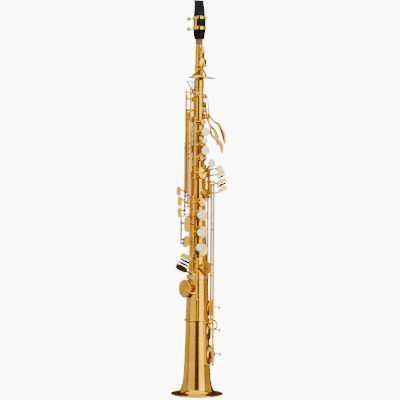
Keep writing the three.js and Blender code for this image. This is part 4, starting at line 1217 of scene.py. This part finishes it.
def palm_saddle():
    inner = tube_radius(PALM_BAND[0]) + GAP
    parts = [arc_band(*PALM_BAND, inner, inner + 1.4, 46, 145)]
    for name, hinge_z in PALM_HINGE_Z.items():
        angle = HOLES[name][0]
        for side in (-PALM_POST_AT, PALM_POST_AT):
            head = place(angle, PALM_DISTANCE, side, hinge_z)
            parts.append(stem(place(angle, inner + 0.8, side * 0.3, hinge_z), head, 1.1))
            parts.append(fluted_ball(head, around(angle) * math.copysign(1, side), 2.2))
    return merged(*parts)


def palm_key(name):
    """A short axle across the tube, a small cup above it and a long broad fingertip lever."""
    angle, z, _, _ = HOLES[name]
    hinge_z = PALM_HINGE_Z[name]
    top = edge_of(name) + GAP + CUP_HEIGHT
    at = (lambda point: place(angle, point[0], 0, point[1]))
    hinge = at((PALM_DISTANCE, hinge_z))
    r = 1.8
    axle = turned(eased([(0.9, 0), (r + 0.25, 0), (r + 0.25, 0.9), (r, 1.1), (r, 6.1),
                         (r + 0.25, 6.3),
                         (r + 0.25, 7.2), (0.9, 7.2)], 0.15, 2, True), 32, closed=True)
    axle = along_axis(axle, place(angle, PALM_DISTANCE, -PALM_HALF, hinge_z), around(angle))
    cup, pad = cup_and_pad(name)
    lever = [at(point) for point in PALM_LEVERS[name]]
    count = len(lever)
    depths = [1.8] + [1.9 + 1.7 * (i / (count - 1)) ** 0.7 for i in range(count - 1)] + [1.7]
    bar = swept([hinge] + lever, [(1.5 if i < 2 else 1.25, depth) for i,
                                  depth in enumerate(depths)],
                up=outward(angle), sides=24, per_span=8, power=2.4)
    tip = swept(lever[-3:], [(1.5, 3.2), (2.1, 4.0), (1.5, 2.0)], up=outward(angle), sides=24,
                per_span=10, power=2.3)
    cup_bar = swept([at((top - 0.3, z)), at((top + 1.0, z - 5)), hinge],
                    [(1.9, 0.7), (1.3, 1.1), (1.5, 1.5)],
                    up=outward(angle), sides=18, power=2.5)
    piece(name + "_lever", merged(axle, cup, bar, tip, cup_bar), RICH_GOLD, name + "_key",
          [name + "_key"])
    piece(name + "_lever_pad", pad, LEATHER, name + "_key")


# ------------------------------------------------------------------ octave mechanism
THUMB_REST_Z = 414
BODY_VENT = dict(angle=158, z=498, hinge_z=478, distance=16.8, half=2.2, post_at=5.4)


def rear_rib():
    angle, hinge_z, distance = BODY_VENT["angle"], BODY_VENT["hinge_z"], BODY_VENT["distance"]
    rest = turned(eased([(0, 0), (8, 0), (8.4, 3), (7.4, 4.8), (5, 5.7), (0, 6)], 0.8, 4), 64)
    foot = place(-178, tube_radius(hinge_z) + 1.8, 0, hinge_z)
    parts = [rib(-178, THUMB_REST_Z - 10, 538), post(-178, HINGES["octave"], 535.4),
             post(-178, HINGES["octave"], 452), *straps(-178, (535.4, 452, hinge_z)),
             facing(rest, 180, (0, tube_radius(THUMB_REST_Z) + 1.6, THUMB_REST_Z))]
    for side in (-1, 1):
        head = place(angle, distance, side * BODY_VENT["post_at"], hinge_z)
        parts += [straight(foot, head, 0.8), fluted_ball(head, around(angle) * side, 1.6)]
    vent_z = BODY_VENT["z"]
    pip = turned(eased([(0.6, 0), (2.2, 0), (1.8, 1), (1.5, 2.0), (1.2, 2.2), (0.6, 2.2)], 0.2, 2,
                       True), 28, closed=True)
    parts.append(facing(pip, angle, place(angle, tube_radius(vent_z), 0, vent_z)))
    return merged(*parts)


def octave_thumb_key():
    hinge = HINGES["octave"]
    return merged(hinge_tube(hinge, 455.2, 532.2, (459, 490, 526)),
                  touch_plate((3.6, 24.4, 445), 176, 14, 9, 2, 0, 2.4),
                  swept([(*hinge, 459), (1.4, 22, 457), (3.6, 23.6, 447)],
                        [(1.8, 1.5), (1.6, 1.3), (2.4, 0.8)],
                        up=(0, 1, 0), sides=16, power=2.4),
                  swept([(*hinge, 526), (-8.4, 18, 530), (-15, 12, 541), (-20.4, 2, 550.6)],
                        [(1.7, 1.5), (1.5, 1.2), (1.5, 1.1), (1.2, 1.2)], sides=16, power=2.4),
                  swept([(-20.4, 2, 550.6), (-16, 2.4, 551.4), (-11.8, 3.4, 551)], [1.2, 1.2, 1.1],
                        sides=16),
                  swept([(-11.8, 3.4, 551), (-12, 8, 545), (-12.4, 14.4, 536)], [1.1, 1.1, 1.1],
                        sides=16),
                  ball((-20.4, 2, 550.6), 1.8))


def body_octave_key():
    angle, z, hinge_z = BODY_VENT["angle"], BODY_VENT["z"], BODY_VENT["hinge_z"]
    distance, half = BODY_VENT["distance"], BODY_VENT["half"]
    vent = tube_radius(z) + CHIMNEY_RISE + GAP
    at = (lambda out, height: place(angle, out, 0, height))
    cup = facing(turned(eased([(0, 0.5), (2.4, 0.5), (2.8, 0.4), (2.8, 1.7), (1.9, 2.2), (0, 2.5)],
                              0.2, 3), 36),
                 angle, at(vent, z))
    axle = straight(place(angle, distance, -half, hinge_z), place(angle, distance, half, hinge_z),
                    1.4, 28)
    bar = swept([at(vent + 2, z), at(vent + 3, z - 6), at(distance, hinge_z),
                 at(distance + 1, hinge_z - 10)],
                [(1.3, 0.7), (1.2, 1.0), (1.6, 1.3), (1.8, 0.7)], up=outward(angle), sides=16,
                power=2.4)
    pad = facing(turned(eased([(0, 0), (1.9, 0), (2.2, 0.3), (2.2, 0.7), (0, 0.7)], 0.2, 2), 28),
                 angle, at(vent, z))
    return merged(cup, axle, bar), pad


def neck_octave_key():
    """The neck key: cup, oval plate, a web of three legs and the yoke that goes round the neck."""
    y, z, x0, x1 = NECK_AXLE
    vent = tube_radius(VENT_Z) + CHIMNEY_RISE + GAP
    cup = facing(turned(eased([(0, 0.5), (3.0, 0.5), (3.4, 0.4), (3.4, 1.6), (2.4, 2.2), (0, 2.6)],
                              0.2, 3), 40), 35,
                 place(35, vent, 0, VENT_Z))
    pad = facing(turned(eased([(0, 0), (2.5, 0), (2.8, 0.3), (2.8, 0.7), (0, 0.7)], 0.2, 2), 32),
                 35,
                 place(35, vent, 0, VENT_Z))
    parts = [cup, straight((x0, y, z), (x1, y, z), 1.7, 32),
             touch_plate((7, y - 1, 582.4), 10, 13.2, 15.6, 1.8)]
    parts.append(swept([place(35, vent + 2, 0, VENT_Z), (7.6, y, 600), (7, y - 0.4, 590)],
                       [(2.2, 0.7), (2.6, 0.8), (3.4, 0.8)], up=(0, -1, 0), sides=20, power=2.5))
    top = (6.4, y - 1.2, 577)
    parts.append(swept([(6.6, y - 0.9, 581), top, (5.9, y - 1.3, 572)],
                       [(3.6, 0.8), (2.9, 0.9), (2.4, 0.9)],
                       up=(0, -1, 0), sides=20, power=2.6))
    yoke = [(-19, -3, 557.2), (-12, -11.4, 557), (-3, -14.6, 556.8), (5, -15.2, 556.6),
            (13, -13.8, 556.2),
            (20, -10.4, 555.8), (29, -3, 555.4)]
    for foot in (yoke[1], yoke[3], yoke[4]):
        foot = np.array(foot) + np.array([0, 0, 1.6])
        start = np.array([5.9, y - 1.3, 573])
        middle = (start + foot) / 2 + np.array([0, -0.5, 0.6])
        parts.append(swept([start, middle, foot], [(2.1, 0.9), (1.8, 0.9), (2.4, 0.9)],
                           up=(0, -1, 0), sides=16,
                           power=2.4))
    parts.append(swept(yoke, [(0.9, 1.1), (1.1, 2.3), (1.2, 3.6), (1.2, 4.3), (1.2, 3.4),
                              (1.1, 2.2), (0.9, 1.1)],
                       up=(0, 0.25, 1), sides=24, per_span=8, power=2.2))
    return merged(*parts), pad


# ------------------------------------------------------------------ hook, strap ring, guard
def thumb_hook():
    z = 262
    seat = tube_radius(z - 9) + GAP
    base = touch_plate((0, seat + 0.9, z), 180, 11, 18, 1.8, 0, 5, 0)
    hook = swept([(0, seat + 1, z + 4), (0, seat + 9, z + 6), (0, seat + 19, z + 2),
                  (0, seat + 21, z - 9)],
                 [(5.0, 1.6), (5.4, 1.5), (5.4, 1.5), (4.6, 1.4)], up=(0, 0, 1), sides=28,
                 per_span=10, power=3)
    screw = along_axis(slotted_head(2.2, 1.2), (0, seat + 1.8, z - 5.6), (0, 1, 0))
    return merged(base, hook, screw)


def strap_ring():
    z, r, wire = 352, 6.6, 1.3
    seat = tube_radius(z - 7) + GAP
    centre = np.array([0, seat + 1.4 + r, z])
    rows = []
    for i in range(65):
        a = 2 * math.pi * i / 64
        out = np.array([0, math.cos(a), math.sin(a)])
        rows.append([centre + out * (r + wire * math.cos(b)) + np.array([wire * math.sin(b), 0, 0])
                     for b in np.linspace(0, 2 * math.pi, 16, endpoint=False)])
    points = np.array(rows[:-1]).reshape(-1, 3)
    faces = [(i * 16 + j, i * 16 + (j + 1) % 16, (i + 1) % 64 * 16 + (j + 1) % 16,
              (i + 1) % 64 * 16 + j)
             for i in range(64) for j in range(16)]
    base = touch_plate((0, seat + 0.8, z), 180, 7, 14, 1.6, 0, 5, 0)
    return merged(outwards(points, faces), base)


GUARD = dict(angle=152, distance=36, knob_angle=98)
GUARD_KNOBS = [(152, 39.5), (112, 40.5), (69.5, 42)]
GUARD_FEET = (89.6, 118)


def bell_guard():
    angle, distance, knob_angle = GUARD["angle"], GUARD["distance"], GUARD["knob_angle"]
    parts = []
    for z in GUARD_FEET:
        inner = tube_radius(z - 1.5) + GAP
        parts.append(arc_band(z - 1.5, z + 1.5, inner, inner + 1.3, 138, 166))
        parts.append(stem(place(angle, inner + 0.8, 0, z), place(angle, distance, 0, z), 1.2))
    heights = [z for z, _ in GUARD_KNOBS]
    parts.append(swept([place(angle, distance, 0, heights[2]),
                        place(angle, distance, 0, heights[1]),
                        place(angle, distance, 0, heights[0])], 1.3, sides=16))
    bumpers = []
    for z, reach in GUARD_KNOBS:
        parts.append(swept([place(angle, distance, 0, z), place(138, reach + 0.6, 0, z),
                            place(118, reach + 2.6, 0, z),
                            place(knob_angle, reach - 0.6, 0, z)], 1.25, sides=16, per_span=8))
        knob = turned(eased([(0, 0.5), (2.6, 0.5), (3.2, 1.0), (3.2, 2.4), (2.7, 2.9), (1.4, 3.2),
                             (1.2, 3.8), (0, 3.8)],
                            0.25, 3), 40)
        parts.append(facing(knob, knob_angle, place(knob_angle, reach - 2.2, 0, z)))
        felt = turned(eased([(0, 0), (2.4, 0), (2.5, 0.5), (0, 0.5)], 0.15, 2), 32)
        bumpers.append(facing(felt, knob_angle, place(knob_angle, reach - 2.2, 0, z)))
    return merged(*parts), merged(*bumpers)


# ------------------------------------------------------------------ springs
def needle_spring(post_at, z, tip):
    """A blued needle from a post to the key it presses."""
    start = np.array([*post_at, z], float)
    return swept([start, (start + np.array(tip)) / 2 + np.array([0, -0.4, 0]), tip],
                 [0.38, 0.34, 0.26], sides=8)


def springs():
    parts = []
    for name, z, reach in (("upper_stack", 446.8, 14), ("upper_stack", 402, 15),
                           ("lower_stack", 301, 14),
                           ("lower_stack", 271, 14), ("lower_stack", 346.5, -12),
                           ("side_e", 531.6, -20),
                           ("side_c", 499.5, -20), ("side_bb", 441.5, -18),
                           ("high_f_sharp", 308.5, 16),
                           ("g_sharp", 347.5, 18), ("low_c_sharp", 391.5, -20),
                           ("little_finger", 218, -9)):
        x, y = HINGES[name]
        inward = -unit(np.array([x, y]))
        tip = (x + inward[0] * 2.5, y + inward[1] * 2.5, z + reach)
        parts.append(needle_spring((x + inward[0] * 2.2, y + inward[1] * 2.2), z, tip))
    return merged(*parts)


def build_palm_and_octave():
    base = "tube_assembly"
    piece("palm_key_saddle_band", palm_saddle(), RICH_GOLD, base, ["palm_key_saddle"])
    for name in PALM_LEVERS:
        palm_key(name)
    piece("rear_rib_and_thumb_rest", rear_rib(), RICH_GOLD, base, ["thumb_rest_rib"])
    piece("octave_thumb_lever", octave_thumb_key(), RICH_GOLD, "octave_thumb_key",
          ["octave_thumb_key"])
    metal, pad = body_octave_key()
    piece("body_octave_lever", metal, RICH_GOLD, "body_octave_key", ["body_octave_key"])
    piece("body_octave_pad", pad, LEATHER, "body_octave_key")
    metal, pad = neck_octave_key()
    piece("neck_octave_yoke", metal, RICH_GOLD, "neck_octave_key", ["neck_octave_key"])
    piece("neck_octave_pad", pad, LEATHER, "neck_octave_key")


def build_fittings():
    base = "tube_assembly"
    piece("thumb_hook_cast", thumb_hook(), RICH_GOLD, base, ["thumb_hook"])
    piece("strap_ring_wire", strap_ring(), RICH_GOLD, base, ["strap_ring"])
    metal, felt = bell_guard()
    piece("bell_guard_wires", metal, RICH_GOLD, base, ["bell_key_guard"])
    piece("bell_guard_felts", felt, FELT, base)
    piece("needle_springs", springs(), BLUED_STEEL, base)


build_palm_and_octave()
build_fittings()


# ------------------------------------------------------------------ studio
def area_light(name, at, aim, size, power, colour=(1, 1, 1)):
    data = bpy.data.lights.new(name, "AREA")
    data.shape = "RECTANGLE"
    data.size, data.size_y = size
    data.energy = power
    data.color = colour
    light = bpy.data.objects.new(name, data)
    light.location = at
    light.rotation_euler = (Vector(aim) - Vector(at)).to_track_quat("-Z", "Y").to_euler()
    bpy.context.scene.collection.objects.link(light)
    return light


PAPER_GLOW = 9.0
AIR_COLOUR, AIR_STRENGTH = (0.55, 0.3, 0.13, 1), 0.15
WARM, SOFT_WARM = (1, 0.85, 0.62), (1, 0.92, 0.76)
SENSOR_WIDTH, VIEW_WIDTH = 36, 0.704          # mm on the sensor, metres across at the horn


def paper_material():
    n = Nodes("white_paper")
    n.colour(n.ramp(n.noise(6, 3), (0.3, (0.93, 0.93, 0.93)), (0.7, (0.96, 0.96, 0.955))))
    n.roughness(n.range(n.noise(80, 4), 0.8, 0.95))
    n.bump(n.noise(900, 3), 0.04)
    n.set(Emission_Color=(1, 1, 1, 1), Emission_Strength=PAPER_GLOW)
    return n.material


def floor_and_wall():
    """One sheet of white paper: flat under the bell, curving up behind it."""
    width, reach, rise, bend = 6.0, 2.2, 5.0, 0.9
    profile = [(-3.5, 0.0)]
    profile += [(reach - bend + bend * math.sin(a), bend - bend * math.cos(a))
                for a in np.linspace(0, math.pi / 2, 24)]
    profile.append((reach, rise))
    points = [(x, y, z - 0.0002) for y, z in profile for x in (-width / 2, width / 2)]
    faces = [(2 * i, 2 * i + 1, 2 * i + 3, 2 * i + 2) for i in range(len(profile) - 1)]
    mesh = bpy.data.meshes.new("paper_sweep")
    mesh.from_pydata(points, [], faces)
    mesh.polygons.foreach_set("use_smooth", [True] * len(faces))
    mesh.materials.append(paper_material())
    sweep = bpy.data.objects.new("paper_sweep", mesh)
    bpy.context.scene.collection.objects.link(sweep)
    return sweep


def panel(name, bearing, width, power, colour=(1, 1, 1), distance=2.1, height=2.6):
    """A tall softbox facing the horn. The bearing is 0 at the camera and 90 at +X."""
    at = outward(bearing) * distance + np.array([0, 0, 0.42])
    return area_light(name, tuple(at), (0, 0, 0.36), (width, height), power, colour)


def studio():
    sweep = floor_and_wall()
    sweep.visible_glossy = False
    sweep.visible_diffuse = False
    panels = [panel("left_front_box", -47, 2.3, 27, WARM),
              panel("left_rear_box", -112, 2.4, 15, WARM),
              panel("right_front_box", 41, 1.75, 52, SOFT_WARM),
              panel("right_rear_box", 100, 2.2, 11, WARM),
              area_light("overhead", (0, -0.6, 2.6), (0, 0, 0.2), (4.6, 3.6), 120)]
    world = bpy.data.worlds.new("studio_air")
    bpy.context.scene.world = world
    world.use_nodes = True
    background = next(n for n in world.node_tree.nodes if n.type == "BACKGROUND")
    background.inputs["Color"].default_value = AIR_COLOUR
    background.inputs["Strength"].default_value = AIR_STRENGTH


def camera():
    distance, height, aim_x = 2.3, 0.342, 0.0033
    roll = radians(0.4)
    data = bpy.data.cameras.new("front_camera")
    data.sensor_fit = "HORIZONTAL"
    data.sensor_width = SENSOR_WIDTH
    data.lens = SENSOR_WIDTH * distance / VIEW_WIDTH
    eye = bpy.data.objects.new("front_camera", data)
    eye.location = (aim_x, -distance, height)
    eye.rotation_euler = (math.pi / 2, -roll, 0)
    bpy.context.scene.collection.objects.link(eye)
    bpy.context.scene.camera = eye
    data.clip_end = 20


studio()
camera()
